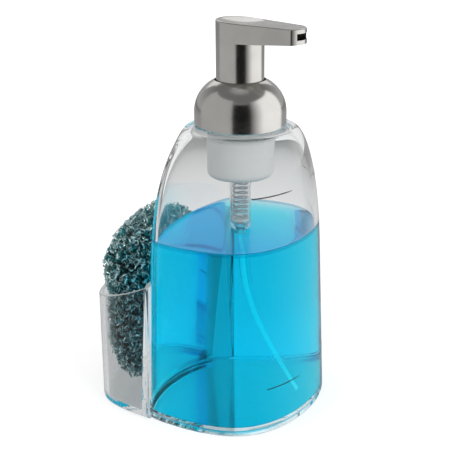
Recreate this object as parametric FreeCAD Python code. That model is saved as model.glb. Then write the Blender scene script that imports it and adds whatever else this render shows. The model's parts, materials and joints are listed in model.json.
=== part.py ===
"""Soap pump caddy: a clear bottle with a foaming pump and a scrubber pocket behind it.

Millimetres, +Z up. The pump axis is the Z axis, the base stands on Z = 0,
the spout points to -Y and the scrubber pocket is on the +Y side.
"""
import FreeCAD, Part
import math
import os

from FreeCAD import Vector

# Driving dimensions: bottle plan at the base, each bow given by its reach from the pump axis
front_reach = 42.5
side_reach = 53.3
back_reach = 39.3
front_bow_radius = 80.0
side_bow_radius = 179.0
back_bow_radius = 180.0
side_bow_forward = 3.8
front_corner_power = 7.0
back_corner_power = 18.0
outline_point_count = 48

# Driving dimensions: bottle height, walls and shoulder
base_thickness = 3.2
base_chamfer = 0.6
base_lip_height = 1.2
base_lip_gap = 0.1
bottle_wall = 2.8
shoulder_wall = 3.0
shoulder_height = 150.0
shoulder_rise = 66.2
shoulder_margin = 3.6
shoulder_power = 2.37
shoulder_step_count = 6
taper_share = 0.12

# Driving dimensions: threaded neck
neck_gap = 1.0
neck_wall = 1.4
neck_height = 9.5
thread_pitch = 4.0
thread_bead_radius = 0.7
thread_clearance = 0.3
thread_turn_count = 1.25
thread_start = 2.4

# Driving dimensions: scrubber pocket
pocket_depth = 35.7
pocket_back_bow_radius = 98.0
pocket_side_step = 1.3
pocket_side_bow_radius = 208.0
pocket_side_bow_back = 9.0
pocket_corner_power = 12.5
pocket_wall = 2.6
pocket_floor = 3.0
pocket_wrap = 10.8
pocket_rim_front_height = 74.5
pocket_rim_middle_height = 64.5
pocket_rim_back_height = 58.4
bond_gap = 0.2

# Driving dimensions: liquid soap and the scrubber
soap_headroom = 54.1
soap_gap = 0.3
scrubber_side_room = 7.9
scrubber_depth_room = 2.45
scrubber_forward = 1.25
scrubber_height = 96.0
scrubber_floor_gap = 0.4
scrubber_point_count = 24

# Driving dimensions: collar
dome_wall = 1.1
dome_lift = 0.6
dome_side_height = 7.2
dome_shoulder_radius = 18.0
dome_lip_depth = 3.0
closure_wall = 1.95
closure_gap = 0.05
closure_bottom_lift = 1.4
closure_top = 1.5
closure_top_inset = 1.4

# Driving dimensions: pump engine
gasket_thickness = 1.0
flange_thickness = 1.5
flange_overhang = 0.6
air_cylinder_radius = 17.0
air_cylinder_wall = 1.3
air_cylinder_drop = 36.0
air_cylinder_corner = 3.5
engine_floor = 1.6
feed_cylinder_radius = 5.5
feed_wall = 1.0
feed_cylinder_length = 27.0
feed_taper_length = 4.0
socket_wall = 1.1
socket_length = 5.0
socket_depth = 4.5
inlet_hole_radius = 1.2
seat_height = 2.0
seat_cone_height = 4.0
running_gap = 0.06

# Driving dimensions: dip tube, which leans to the front
dip_tube_radius = 2.2
dip_tube_wall = 0.7
dip_tube_straight = 9.0
dip_tube_foot_room = 3.6
dip_tube_front_room = 12.65
dip_tube_clearance = 0.5
pump_rise = 5.0

# Driving dimensions: valves, spring and pistons
ball_radius = 2.2
ball_gap = 0.1
ball_lift = 0.8
cage_thickness = 1.2
cage_ring_width = 1.1
cage_rib_width = 0.8
spring_wire = 0.75
spring_side_gap = 0.425
spring_turn_count = 7.5
spring_length = 20.1
stop_ring_height = 4.8
piston_stop_gap = 0.3
feed_piston_head = 6.0
feed_piston_step = 0.9
feed_piston_wall = 1.6
air_piston_lip_height = 6.5
air_piston_lip = 1.2
air_piston_web = 1.4
air_piston_web_lift = 2.2
hub_wall = 2.0
hub_above_web = 12.0
hub_below_web = 3.0
air_hole_radius = 1.0
air_hole_count = 4
valve_flap_gap = 1.0
valve_flap_overlap = 1.6
valve_flap_thickness = 0.6

# Driving dimensions: actuator
sleeve_radius = 12.2
sleeve_wall = 1.1
sleeve_hidden = 8.1
sleeve_shown = 19.3
stem_gap = 0.8
spout_back_thickness = 10.8
spout_front_thickness = 8.0
spout_corner_reach = 30.5
spout_tip_bulge = 4.5
spout_tip_wall = 2.2
spout_tip_lift = 0.6
spout_edge_radius = 0.8
dish_reach = 11.0
dish_depth = 1.2
dish_forward = 1.6
slot_width = 11.6
slot_height = 3.2
slot_lift = 4.3
slot_liner_wall = 0.6
slot_liner_recess = 1.0
core_gap = 0.1
core_height = 6.1
core_flange_height = 20.0
core_wall = 2.0
core_channel_radius = 4.0
mesh_carrier_height = 12.0
mesh_carrier_wall = 1.0
mesh_thickness = 0.4
mesh_hole = 0.8
mesh_hole_spacing = 1.4
mesh_hole_count = 5
mesh_lift = 0.5
cut_overrun = 1.0

# Shares of the scrubber's height, half width and half depth, from its foot to its crown
scrubber_height_shares = (0.0, 0.03, 0.12, 0.30, 0.58, 0.72, 0.80, 0.90, 0.97, 1.0)
scrubber_width_shares = (0.42, 0.58, 0.82, 0.98, 0.99, 1.06, 1.06, 0.88, 0.58, 0.34)
scrubber_depth_shares = (0.45, 0.62, 0.86, 0.97, 0.98, 1.10, 1.14, 0.95, 0.62, 0.36)

# Radii that follow from the sizes above, from the engine outwards
neck_bore_radius = air_cylinder_radius + neck_gap
neck_radius = neck_bore_radius + neck_wall
closure_bore_radius = neck_radius + thread_bead_radius + thread_clearance
closure_radius = closure_bore_radius + closure_wall
dome_bore_radius = closure_radius + closure_gap
dome_radius = dome_bore_radius + dome_wall
dome_hole_radius = sleeve_radius + stem_gap
dome_bend_centre = dome_radius - dome_shoulder_radius
shoulder_ring_radius = dome_radius + shoulder_margin
flange_radius = neck_radius + flange_overhang
air_bore_radius = air_cylinder_radius - air_cylinder_wall
feed_bore_radius = feed_cylinder_radius - feed_wall
socket_radius = dip_tube_radius + socket_wall
dip_tube_bore_radius = dip_tube_radius - dip_tube_wall
spring_coil_radius = feed_bore_radius - spring_wire / 2 - spring_side_gap
feed_piston_stem_radius = feed_bore_radius - feed_piston_step
feed_piston_bore_radius = feed_piston_stem_radius - feed_piston_wall
hub_radius = feed_piston_stem_radius + hub_wall
lip_radius = air_bore_radius - running_gap
air_hole_circle_radius = (hub_radius + lip_radius - air_piston_lip) / 2
valve_flap_inner_radius = hub_radius + valve_flap_gap
valve_flap_outer_radius = air_hole_circle_radius + air_hole_radius + valve_flap_overlap
sleeve_bore_radius = sleeve_radius - sleeve_wall
core_tube_radius = hub_radius + core_wall
spout_reach = spout_corner_reach + spout_tip_bulge
spout_tip_half_width = slot_width / 2 + spout_tip_wall

# Places that follow for the pocket and the scrubber
pocket_back_reach = back_reach + pocket_depth
pocket_side_reach = side_reach - pocket_side_step
pocket_joint_y = back_reach - pocket_wrap
scrubber_half_width = pocket_side_reach - pocket_wall - scrubber_side_room
scrubber_half_depth = pocket_depth / 2 - pocket_wall - scrubber_depth_room
scrubber_centre_y = back_reach + (pocket_depth - pocket_wall) / 2 - scrubber_forward

# Heights that follow from the sizes above
shoulder_bend_height = shoulder_height - shoulder_rise
soap_level = shoulder_height - soap_headroom
neck_top = shoulder_height + neck_height
flange_bottom = neck_top + gasket_thickness
flange_top = flange_bottom + flange_thickness
engine_bottom = flange_top - air_cylinder_drop - engine_floor
feed_bottom = engine_bottom - feed_cylinder_length
socket_top = feed_bottom - feed_taper_length
socket_bottom = socket_top - socket_length
inlet_bottom = socket_bottom + socket_depth
seat_bottom = inlet_bottom + seat_height
seat_top = seat_bottom + seat_cone_height
seat_slope = (feed_bore_radius - inlet_hole_radius) / seat_cone_height
seat_half_angle = math.atan(seat_slope)
seat_apex = seat_bottom - inlet_hole_radius / seat_slope
ball_centre = seat_apex + ball_radius / math.sin(seat_half_angle) + ball_gap
cage_bottom = ball_centre + ball_radius + ball_lift
cage_top = cage_bottom + cage_thickness
feed_piston_bottom = cage_top + spring_length
stop_ring_bottom = flange_top - stop_ring_height
lip_top = stop_ring_bottom - piston_stop_gap
lip_bottom = lip_top - air_piston_lip_height
web_bottom = lip_bottom + air_piston_web_lift
web_top = web_bottom + air_piston_web
hub_top = web_top + hub_above_web
hub_bottom = web_bottom - hub_below_web
dome_bottom = shoulder_height + dome_lift
dome_bend = dome_bottom + dome_side_height
dome_rise = math.sqrt(dome_shoulder_radius ** 2 - (dome_hole_radius - dome_bend_centre) ** 2)
dome_top = dome_bend + dome_rise
sleeve_bottom = dome_top - sleeve_hidden
spout_bottom = dome_top + sleeve_shown
spout_top_back = spout_bottom + spout_back_thickness
spout_top_front = spout_bottom + spout_front_thickness
spout_slope = (spout_top_back - spout_top_front) / (spout_reach + sleeve_radius)
slot_centre = spout_bottom + slot_lift
core_top = spout_bottom + core_height
sleeve_roof = core_top + core_gap
soap_bottom = base_thickness + base_lip_height + soap_gap
dip_tube_end_height = base_thickness + base_lip_height + dip_tube_foot_room
dip_tube_bend_top = inlet_bottom - dip_tube_straight
dip_tube_drop = dip_tube_bend_top - dip_tube_end_height
dip_tube_reach = front_reach - bottle_wall - dip_tube_front_room
dip_tube_bend_radius = (dip_tube_drop ** 2 + dip_tube_reach ** 2) / (2 * dip_tube_reach)


def bow_distance(direction, centre, radius):
    """Distance from the pump axis to a bow's circle along a direction."""
    along = direction.x * centre.x + direction.y * centre.y
    return along + math.sqrt(along ** 2 - centre.x ** 2 - centre.y ** 2 + radius ** 2)


def softened(distances, power):
    """The nearest of several bows, with the corner between two of them rounded off."""
    return sum(distance ** -power for distance in distances) ** (-1 / power)


def side_bows(direction, reach, radius, centre_y, inset):
    """Distances to the left and the right side bow."""
    centres = [Vector(side * (reach - radius), centre_y, 0) for side in (-1, 1)]
    return [bow_distance(direction, centre, radius - inset) for centre in centres]


def bottle_reach(direction, inset):
    """Distance from the pump axis to the bottle's outline, moved in by inset."""
    front_centre = Vector(0, front_bow_radius - front_reach, 0)
    back_centre = Vector(0, back_reach - back_bow_radius, 0)
    front = bow_distance(direction, front_centre, front_bow_radius - inset)
    back = bow_distance(direction, back_centre, back_bow_radius - inset)
    sides = side_bows(direction, side_reach, side_bow_radius, -side_bow_forward, inset)
    return softened([softened([front] + sides, front_corner_power), back], back_corner_power)


def pocket_reach(direction, inset):
    """Distance from the pump axis to the pocket's outline, moved in by inset."""
    back_centre = Vector(0, pocket_back_reach - pocket_back_bow_radius, 0)
    back = bow_distance(direction, back_centre, pocket_back_bow_radius - inset)
    sides = side_bows(direction, pocket_side_reach, pocket_side_bow_radius, pocket_side_bow_back, inset)
    return softened([back] + sides, pocket_corner_power)


def directions(count):
    """Evenly turned unit directions in the plan."""
    angles = [2 * math.pi * step / count for step in range(count)]
    return [Vector(math.cos(angle), math.sin(angle), 0) for angle in angles]


def closed_curve(points):
    """A smooth closed wire through points."""
    curve = Part.BSplineCurve()
    curve.interpolate(Points=points, PeriodicFlag=True)
    return Part.Wire([curve.toShape()])


def bottle_section(height, inset, top_height, ring_radius):
    """The bottle's outline at a height: it tapers, then melts into a round ring at the top."""
    scale = 1 - taper_share * height / shoulder_height
    bend = max(0, (height - shoulder_bend_height) / (top_height - shoulder_bend_height))
    melt = 1 - math.sqrt(max(0, 1 - bend ** shoulder_power))
    points = []
    for direction in directions(outline_point_count):
        reach = bottle_reach(direction, inset) * scale * (1 - melt) + ring_radius * melt
        points.append(direction * reach + Vector(0, 0, height))
    return closed_curve(points)


def bottle_form(bottom, inset, top_height, ring_radius):
    """A solid of the bottle's form from bottom up to its ring at top_height."""
    middle = (bottom + shoulder_bend_height) / 2
    heights = [bottom, middle, shoulder_bend_height]
    for step in range(1, shoulder_step_count + 1):
        rise_share = math.sin(math.pi / 2 * step / shoulder_step_count) ** (2 / shoulder_power)
        heights.append(shoulder_bend_height + (top_height - shoulder_bend_height) * rise_share)
    sections = [bottle_section(height, inset, top_height, ring_radius) for height in heights]
    return Part.makeLoft(sections, True, False)


def plan_slab(reach, insets_at_heights):
    """A slab whose outline is reach(direction, inset), given as inset and height pairs."""
    sections = []
    for inset, height in insets_at_heights:
        lift = Vector(0, 0, height)
        points = [turn * reach(turn, inset) + lift for turn in directions(outline_point_count)]
        sections.append(closed_curve(points))
    return Part.makeLoft(sections, True, True)


def turned(profile):
    """A solid of revolution about the pump axis from radius and height pairs."""
    points = [Vector(radius, 0, height) for radius, height in profile]
    face = Part.Face(Part.makePolygon(points + points[:1]))
    return face.revolve(Vector(), Vector(0, 0, 1), 360)


def ring(inner, outer, bottom, top):
    """A plain ring about the pump axis."""
    return turned([(inner, bottom), (outer, bottom), (outer, top), (inner, top)])


def post(radius, bottom, top):
    """A plain round post on the pump axis."""
    return Part.makeCylinder(radius, top - bottom, Vector(0, 0, bottom))


def block(half_x, front, back, bottom, top):
    """A box centred on X, from front to back in Y and bottom to top in Z."""
    return Part.makeBox(2 * half_x, back - front, top - bottom, Vector(-half_x, front, bottom))


def tangent_arc(start, end, corner):
    """The arc from start to end whose end tangents meet at corner."""
    middle = (start + end) / 2
    half_chord = (end - start).Length / 2
    leg = (corner - start).Length
    bulge = half_chord * math.tan(math.acos(half_chord / leg) / 2)
    crown = middle + (corner - middle).normalize() * bulge
    return Part.Arc(start, crown, end).toShape()


def biarc(start, start_way, end, end_way):
    """Two arcs from start to end that leave and arrive along unit directions."""
    span = end - start
    ways = start_way + end_way
    bend = 2 * (1 - start_way.dot(end_way))
    along = span.dot(ways)
    reach = (math.sqrt(along ** 2 + bend * span.dot(span)) - along) / bend
    first_corner = start + start_way * reach
    last_corner = end - end_way * reach
    joint = (first_corner + last_corner) / 2
    return [tangent_arc(start, joint, first_corner), tangent_arc(joint, end, last_corner)]


def helix_point(radius, pitch, bottom, turn):
    """A point on a right-hand helix after a number of turns, and its unit direction."""
    angle = 2 * math.pi * turn
    point = Vector(radius * math.cos(angle), radius * math.sin(angle), bottom + pitch * turn)
    circle_way = Vector(-math.sin(angle), math.cos(angle), 0) * (2 * math.pi * radius)
    return point, (circle_way + Vector(0, 0, pitch)).normalize()


def coil(radius, pitch, bottom, turns, wire_radius, tail):
    """A round bar wound on a right-hand helix in quarter turns, with straight tails."""
    quarters = round(4 * turns)
    marks = [helix_point(radius, pitch, bottom, quarter / 4) for quarter in range(quarters + 1)]
    edges = []
    for (start, start_way), (end, end_way) in zip(marks, marks[1:]):
        edges += biarc(start, start_way, end, end_way)
    first, first_way = marks[0]
    last, last_way = marks[-1]
    tail_start = first - first_way * tail
    edges.insert(0, Part.LineSegment(tail_start, first).toShape())
    edges.append(Part.LineSegment(last, last + last_way * tail).toShape())
    section = Part.Wire([Part.makeCircle(wire_radius, tail_start, first_way)])
    return Part.Wire(edges).makePipeShell([section], True, False)


def thread_bead(radius, bottom):
    """A round screw thread on a wall of that radius."""
    return coil(radius, thread_pitch, bottom, thread_turn_count, thread_bead_radius, thread_bead_radius)


def coil_gap(radius, pitch, turns, wire_radius):
    """Least gap of a coil to itself, measured on points half a turn or more apart."""
    samples = 48
    count = round(samples * turns)
    points = [helix_point(radius, pitch, 0, step / samples)[0] for step in range(count + 1)]
    apart = samples // 2
    gaps = [(points[i] - points[j]).Length for i in range(count) for j in range(i + apart, count + 1)]
    return min(gaps) - 2 * wire_radius


def make_base_plate():
    """The plate that closes the bottle, with a lip that locates it inside the wall."""
    taper = taper_share * base_thickness / shoulder_height * side_reach
    levels = [(base_chamfer, 0), (0, base_chamfer), (taper, base_thickness)]
    lip_inset = bottle_wall + base_lip_gap + taper
    lip_top_height = base_thickness + base_lip_height
    lip = plan_slab(bottle_reach, [(lip_inset, base_chamfer), (lip_inset, lip_top_height)])
    return plan_slab(bottle_reach, levels).fuse(lip).removeSplitter()


def make_bottle_shell():
    """The clear shell: tapered sides, melting shoulder and a threaded neck."""
    outer = bottle_form(base_thickness, 0, shoulder_height, shoulder_ring_radius)
    inner_top = shoulder_height - shoulder_wall
    inner_ring_radius = shoulder_ring_radius - shoulder_wall
    inner = bottle_form(base_thickness, bottle_wall, inner_top, inner_ring_radius)
    thread_bottom = shoulder_height + thread_start
    thread = thread_bead(neck_radius, thread_bottom)
    neck = post(neck_radius, inner_top, neck_top).fuse(thread)
    bore = post(neck_bore_radius, inner_top - cut_overrun, neck_top + cut_overrun)
    return outer.fuse(neck).cut(inner).cut(bore)


def rim_cutter():
    """The space above the pocket's rim, which sweeps up towards the bottle."""
    middle_y = (pocket_joint_y + pocket_back_reach) / 2
    front = Vector(-pocket_side_reach - cut_overrun, pocket_joint_y, pocket_rim_front_height)
    middle = Vector(front.x, middle_y, pocket_rim_middle_height)
    back = Vector(front.x, pocket_back_reach, pocket_rim_back_height)
    far_back = back + Vector(0, cut_overrun, 0)
    far_front = front - Vector(0, cut_overrun, 0)
    lift = Vector(0, 0, pocket_rim_front_height)
    line = [back, far_back, far_back + lift, far_front + lift, far_front, front]
    edges = [Part.Arc(front, middle, back).toShape()]
    edges += [Part.LineSegment(a, b).toShape() for a, b in zip(line, line[1:])]
    width = 2 * (pocket_side_reach + cut_overrun)
    return Part.Face(Part.Wire(edges)).extrude(Vector(width, 0, 0))


def make_scrubber_pocket():
    """The clear cup behind the bottle, hugging the bottle's back wall."""
    top = pocket_rim_front_height
    bottle_top = shoulder_height
    levels = [(base_chamfer, 0), (0, base_chamfer), (0, top)]
    outer = plan_slab(pocket_reach, levels)
    back_end = pocket_back_reach + cut_overrun
    back_space = block(side_reach, pocket_joint_y, back_end, -cut_overrun, top + cut_overrun)
    bottle_space = bottle_form(-cut_overrun, -bond_gap, bottle_top, shoulder_ring_radius)
    cavity = plan_slab(pocket_reach, [(pocket_wall, pocket_floor), (pocket_wall, top + cut_overrun)])
    front_wall = bottle_form(-cut_overrun, -bond_gap - pocket_wall, bottle_top, shoulder_ring_radius)
    cavity = cavity.common(back_space).cut(front_wall)
    return outer.common(back_space).cut(bottle_space).cut(cavity).cut(rim_cutter())


def dip_tube_arc(radius, lift):
    """A line and an arc beside the dip tube's run, on the circle of that radius about its bend."""
    turn = math.asin(dip_tube_drop / dip_tube_bend_radius)
    centre = Vector(0, -dip_tube_bend_radius, dip_tube_bend_top + lift)

    def at(angle):
        return centre + Vector(0, math.cos(angle), -math.sin(angle)) * radius

    return at(0), at(turn / 2), at(turn)


def dip_tube_way(radius):
    """A round bar that follows the dip tube's run."""
    bend_start, bend_middle, bend_end = dip_tube_arc(dip_tube_bend_radius, 0)
    top = Vector(0, 0, inlet_bottom)
    edges = [Part.LineSegment(top, bend_start).toShape()]
    edges.append(Part.Arc(bend_start, bend_middle, bend_end).toShape())
    section = Part.Wire([Part.makeCircle(radius, top, Vector(0, 0, -1))])
    return Part.Wire(edges).makePipeShell([section], True, False)


def make_dip_tube():
    """The hollow tube that reaches the front of the bottle's floor."""
    return dip_tube_way(dip_tube_radius).cut(dip_tube_way(dip_tube_bore_radius))


def dip_tube_room():
    """The room in the liquid for the dip tube, also while the pump is lifted."""
    half_width = dip_tube_radius + dip_tube_clearance
    low = dip_tube_arc(dip_tube_bend_radius + half_width, 0)
    high = dip_tube_arc(dip_tube_bend_radius - half_width, pump_rise)
    top = soap_level + cut_overrun
    foot = low[2] - Vector(0, 0, half_width)
    toe = Vector(0, high[2].y - half_width, foot.z)
    brow = Vector(0, toe.y, high[2].z)
    low_top = Vector(0, low[0].y, top)
    high_top = Vector(0, high[0].y, top)
    edges = [Part.Arc(*low).toShape(), Part.Arc(*reversed(high)).toShape()]
    line = [low[2], foot, toe, brow, high[2]]
    edges += [Part.LineSegment(a, b).toShape() for a, b in zip(line, line[1:])]
    line = [high[0], high_top, low_top, low[0]]
    edges += [Part.LineSegment(a, b).toShape() for a, b in zip(line, line[1:])]
    face = Part.Face(Part.Wire(Part.__sortEdges__(edges)))
    face.translate(Vector(-half_width, 0, 0))
    return face.extrude(Vector(2 * half_width, 0, 0))


def make_soap_fill():
    """The liquid, with room for the parts of the pump that hang in it."""
    inner_top = shoulder_height - shoulder_wall
    inner_ring_radius = shoulder_ring_radius - shoulder_wall
    liquid = bottle_form(soap_bottom, bottle_wall + soap_gap, inner_top, inner_ring_radius)
    above = block(side_reach, -front_reach, back_reach, soap_level, shoulder_height)
    room_radius = feed_cylinder_radius + dip_tube_clearance
    pump_room = post(room_radius, socket_bottom - dip_tube_clearance, shoulder_height)
    return liquid.cut(above).cut(pump_room).cut(dip_tube_room())


def make_scrubber():
    """The soft metal scrubber: a crowned pad that swells above the pocket's rim."""
    foot = pocket_floor + scrubber_floor_gap
    rows = zip(scrubber_height_shares, scrubber_width_shares, scrubber_depth_shares)
    sections = []
    for height_share, width_share, depth_share in rows:
        points = []
        for way in directions(scrubber_point_count):
            across = way.x * scrubber_half_width * width_share
            along = way.y * scrubber_half_depth * depth_share
            points.append(Vector(across, scrubber_centre_y + along, foot + scrubber_height * height_share))
        sections.append(closed_curve(points))
    return Part.makeLoft(sections, True, False)


def make_dome_collar():
    """The metal collar: a straight skirt, a round shoulder and a lip round the stem."""
    inner_shoulder = dome_shoulder_radius - dome_wall
    hole_outer = dome_hole_radius + dome_wall

    def shoulder_height_at(radius, shoulder_radius):
        return dome_bend + math.sqrt(shoulder_radius ** 2 - (radius - dome_bend_centre) ** 2)

    def shoulder_arc(start_radius, end_radius, shoulder_radius):
        centre = Vector(dome_bend_centre, 0, dome_bend)
        end = Vector(end_radius, 0, shoulder_height_at(end_radius, shoulder_radius))
        start = Vector(start_radius, 0, dome_bend)
        middle = centre + ((start - centre) + (end - centre)).normalize() * shoulder_radius
        return [start, middle, end]

    outside = shoulder_arc(dome_radius, dome_hole_radius, dome_shoulder_radius)
    inside = shoulder_arc(dome_bore_radius, hole_outer, inner_shoulder)
    lip_bottom_height = outside[2].z - dome_lip_depth
    edges = [Part.Arc(*outside).toShape(), Part.Arc(*reversed(inside)).toShape()]
    lip_line = [outside[2], Vector(dome_hole_radius, 0, lip_bottom_height)]
    lip_line += [Vector(hole_outer, 0, lip_bottom_height), inside[2]]
    skirt_line = [inside[0], Vector(dome_bore_radius, 0, dome_bottom)]
    skirt_line += [Vector(dome_radius, 0, dome_bottom), outside[0]]
    for line in (lip_line, skirt_line):
        edges += [Part.LineSegment(a, b).toShape() for a, b in zip(line, line[1:])]
    face = Part.Face(Part.Wire(Part.__sortEdges__(edges)))
    return face.revolve(Vector(), Vector(0, 0, 1), 360)


def make_closure_ring():
    """The threaded ring inside the collar that clamps the engine's flange on the neck."""
    bottom = shoulder_height + closure_bottom_lift
    top = flange_top + closure_top
    outside = [(closure_radius, bottom), (closure_radius, dome_bend)]
    outside += [(closure_radius - closure_top_inset, top), (dome_hole_radius, top)]
    inside = [(dome_hole_radius, flange_top), (closure_bore_radius, flange_top)]
    inside.append((closure_bore_radius, bottom))
    thread_bottom = shoulder_height + thread_start + thread_pitch / 2
    thread = thread_bead(closure_bore_radius, thread_bottom)
    return turned(outside + inside).fuse(thread)


def make_neck_gasket():
    """The flat seal between the neck and the engine's flange."""
    return ring(neck_bore_radius, neck_radius, neck_top, flange_bottom)


def make_pump_housing():
    """The engine's body: flange, air cylinder, feed cylinder, ball seat and dip tube socket."""
    corner = air_cylinder_corner
    floor_top = engine_bottom + engine_floor
    outside = [(flange_radius, flange_top), (flange_radius, flange_bottom)]
    outside += [(air_cylinder_radius, flange_bottom)]
    outside += [(air_cylinder_radius, engine_bottom + corner)]
    outside += [(air_cylinder_radius - corner, engine_bottom)]
    outside += [(feed_cylinder_radius, engine_bottom), (feed_cylinder_radius, feed_bottom)]
    outside += [(socket_radius, socket_top), (socket_radius, socket_bottom)]
    inside = [(dip_tube_radius, socket_bottom), (dip_tube_radius, inlet_bottom)]
    inside += [(inlet_hole_radius, inlet_bottom), (inlet_hole_radius, seat_bottom)]
    inside += [(feed_bore_radius, seat_top), (feed_bore_radius, floor_top)]
    inside += [(air_bore_radius - corner, floor_top), (air_bore_radius, floor_top + corner)]
    inside += [(air_bore_radius, flange_top)]
    return turned(outside + inside)


def make_piston_stop_ring():
    """The ring in the engine's mouth that keeps the air piston in."""
    return ring(dome_hole_radius, air_bore_radius, stop_ring_bottom, flange_top)


def make_valve_cage():
    """The spring's seat: a ring with two crossed ribs that hold the inlet ball down."""
    cage = ring(feed_bore_radius - cage_ring_width, feed_bore_radius, cage_bottom, cage_top)
    rib_length = 2 * feed_bore_radius - cage_ring_width
    rib = block(rib_length / 2, -cage_rib_width / 2, cage_rib_width / 2, cage_bottom, cage_top)
    crossed = rib.copy()
    crossed.rotate(Vector(), Vector(0, 0, 1), 90)
    return cage.fuse([rib, crossed]).removeSplitter()


def make_inlet_ball():
    """The ball that shuts the inlet while the pump is pressed."""
    return Part.makeSphere(ball_radius, Vector(0, 0, ball_centre))


def make_return_spring():
    """The wound spring that lifts the pistons, as one unbroken wire."""
    wire_radius = spring_wire / 2
    tail_drop = spring_wire * spring_length / (spring_turn_count * 2 * math.pi * spring_coil_radius)
    bottom = cage_top + wire_radius + tail_drop
    pitch = (spring_length - spring_wire - 2 * tail_drop) / spring_turn_count
    gap = coil_gap(spring_coil_radius, pitch, spring_turn_count, wire_radius)
    print("return_spring least gap to itself, mm:", round(gap, 3))
    return coil(spring_coil_radius, pitch, bottom, spring_turn_count, wire_radius, spring_wire)


def make_feed_piston():
    """The liquid piston with its hollow stem."""
    head_radius = feed_bore_radius - running_gap
    head_top = feed_piston_bottom + feed_piston_head
    head = ring(feed_piston_bore_radius, head_radius, feed_piston_bottom, head_top)
    stem = ring(feed_piston_bore_radius, feed_piston_stem_radius, head_top, web_top)
    return head.fuse(stem).removeSplitter()


def air_holes(bottom, top):
    """Round posts on the air holes' circle."""
    ways = directions(air_hole_count)
    places = [way * air_hole_circle_radius + Vector(0, 0, bottom) for way in ways]
    return [Part.makeCylinder(air_hole_radius, top - bottom, place) for place in places]


def make_air_piston():
    """The air piston: a sealing lip, a web with air holes and the hub that carries the head."""
    lip = ring(lip_radius - air_piston_lip, lip_radius, lip_bottom, lip_top)
    web = ring(feed_piston_stem_radius, lip_radius - air_piston_lip / 2, web_bottom, web_top)
    lower_hub = ring(feed_piston_stem_radius, hub_radius, hub_bottom, web_bottom)
    upper_hub = ring(feed_piston_stem_radius, hub_radius, web_top, hub_top)
    piston = web.fuse([lip, lower_hub, upper_hub]).removeSplitter()
    return piston.cut(air_holes(web_bottom - cut_overrun, web_top + cut_overrun))


def make_air_valve():
    """The soft washer under the air piston's holes."""
    bottom = web_bottom - valve_flap_thickness
    return ring(valve_flap_inner_radius, valve_flap_outer_radius, bottom, web_bottom)


def spout_outline():
    """The spout's plan: a round back, drawn in to a gently rounded tip."""
    back = sleeve_radius
    half = spout_tip_half_width
    lean = math.asin((back - half) / spout_corner_reach)
    side_x = back * math.cos(lean)
    side_y = -back * math.sin(lean)
    left = Vector(-side_x, side_y, 0)
    right = Vector(side_x, side_y, 0)
    tip_right = Vector(half, -spout_corner_reach, 0)
    tip_left = Vector(-half, -spout_corner_reach, 0)
    tip = Vector(0, -spout_reach, 0)
    edges = [Part.Arc(right, Vector(0, back, 0), left).toShape()]
    edges.append(Part.LineSegment(left, tip_left).toShape())
    edges.append(Part.Arc(tip_left, tip, tip_right).toShape())
    edges.append(Part.LineSegment(tip_right, right).toShape())
    return Part.Face(Part.Wire(edges))


def spout_profile():
    """The spout's side view as a slab: it thins towards the tip."""
    back = sleeve_radius + cut_overrun
    start = Vector(-back, back, spout_top_back + spout_slope * cut_overrun)
    end = Vector(-back, -spout_reach - cut_overrun, spout_top_front - spout_slope * cut_overrun)
    bend = Vector(-back, -sleeve_radius, spout_bottom)
    low_tip = Vector(-back, end.y, spout_bottom + spout_tip_lift)
    low_back = Vector(-back, back, spout_bottom)
    outline = Part.makePolygon([start, end, low_tip, bend, low_back, start])
    return Part.Face(outline).extrude(Vector(2 * back, 0, 0))


def dish_ball():
    """The ball that hollows the thumb dish, set square to the sloping top."""
    radius = (dish_reach ** 2 + dish_depth ** 2) / (2 * dish_depth)
    top = spout_top_back - spout_slope * (sleeve_radius + dish_forward)
    upward = Vector(0, -spout_slope, 1).normalize()
    return Part.makeSphere(radius, Vector(0, -dish_forward, top) + upward * (radius - dish_depth))


def make_actuator_shell():
    """The metal head: a stem sleeve, a spout with a slot and a shallow thumb dish."""
    tall = spout_outline().extrude(Vector(0, 0, spout_top_back + cut_overrun))
    spout = tall.common(spout_profile())
    top_edges = [edge for edge in spout.Edges if edge.BoundBox.ZMin > slot_centre + slot_height / 2]
    spout = spout.makeFillet(spout_edge_radius, top_edges)
    spout = spout.cut(dish_ball())
    sleeve = post(sleeve_radius, sleeve_bottom, spout_bottom + cut_overrun)
    bore = post(sleeve_bore_radius, sleeve_bottom - cut_overrun, sleeve_roof)
    half_slot = slot_height / 2
    slot_end = -spout_reach - cut_overrun
    slot = block(slot_width / 2, slot_end, 0, slot_centre - half_slot, slot_centre + half_slot)
    return spout.fuse(sleeve).removeSplitter().cut(bore).cut(slot)


def make_spout_liner():
    """The dark duct that lines the spout's slot."""
    half_width = slot_width / 2 - core_gap
    half_height = slot_height / 2 - core_gap
    back = -math.sqrt(sleeve_bore_radius ** 2 - half_width ** 2)
    front = -spout_corner_reach + slot_liner_recess
    duct = block(half_width, front, back, slot_centre - half_height, slot_centre + half_height)
    inner_width = half_width - slot_liner_wall
    low = slot_centre - half_height + slot_liner_wall
    high = slot_centre + half_height - slot_liner_wall
    way = block(inner_width, front - cut_overrun, back + cut_overrun, low, high)
    round_core = post(sleeve_bore_radius, spout_bottom, sleeve_roof)
    return duct.cut(way).cut(round_core)


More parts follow.
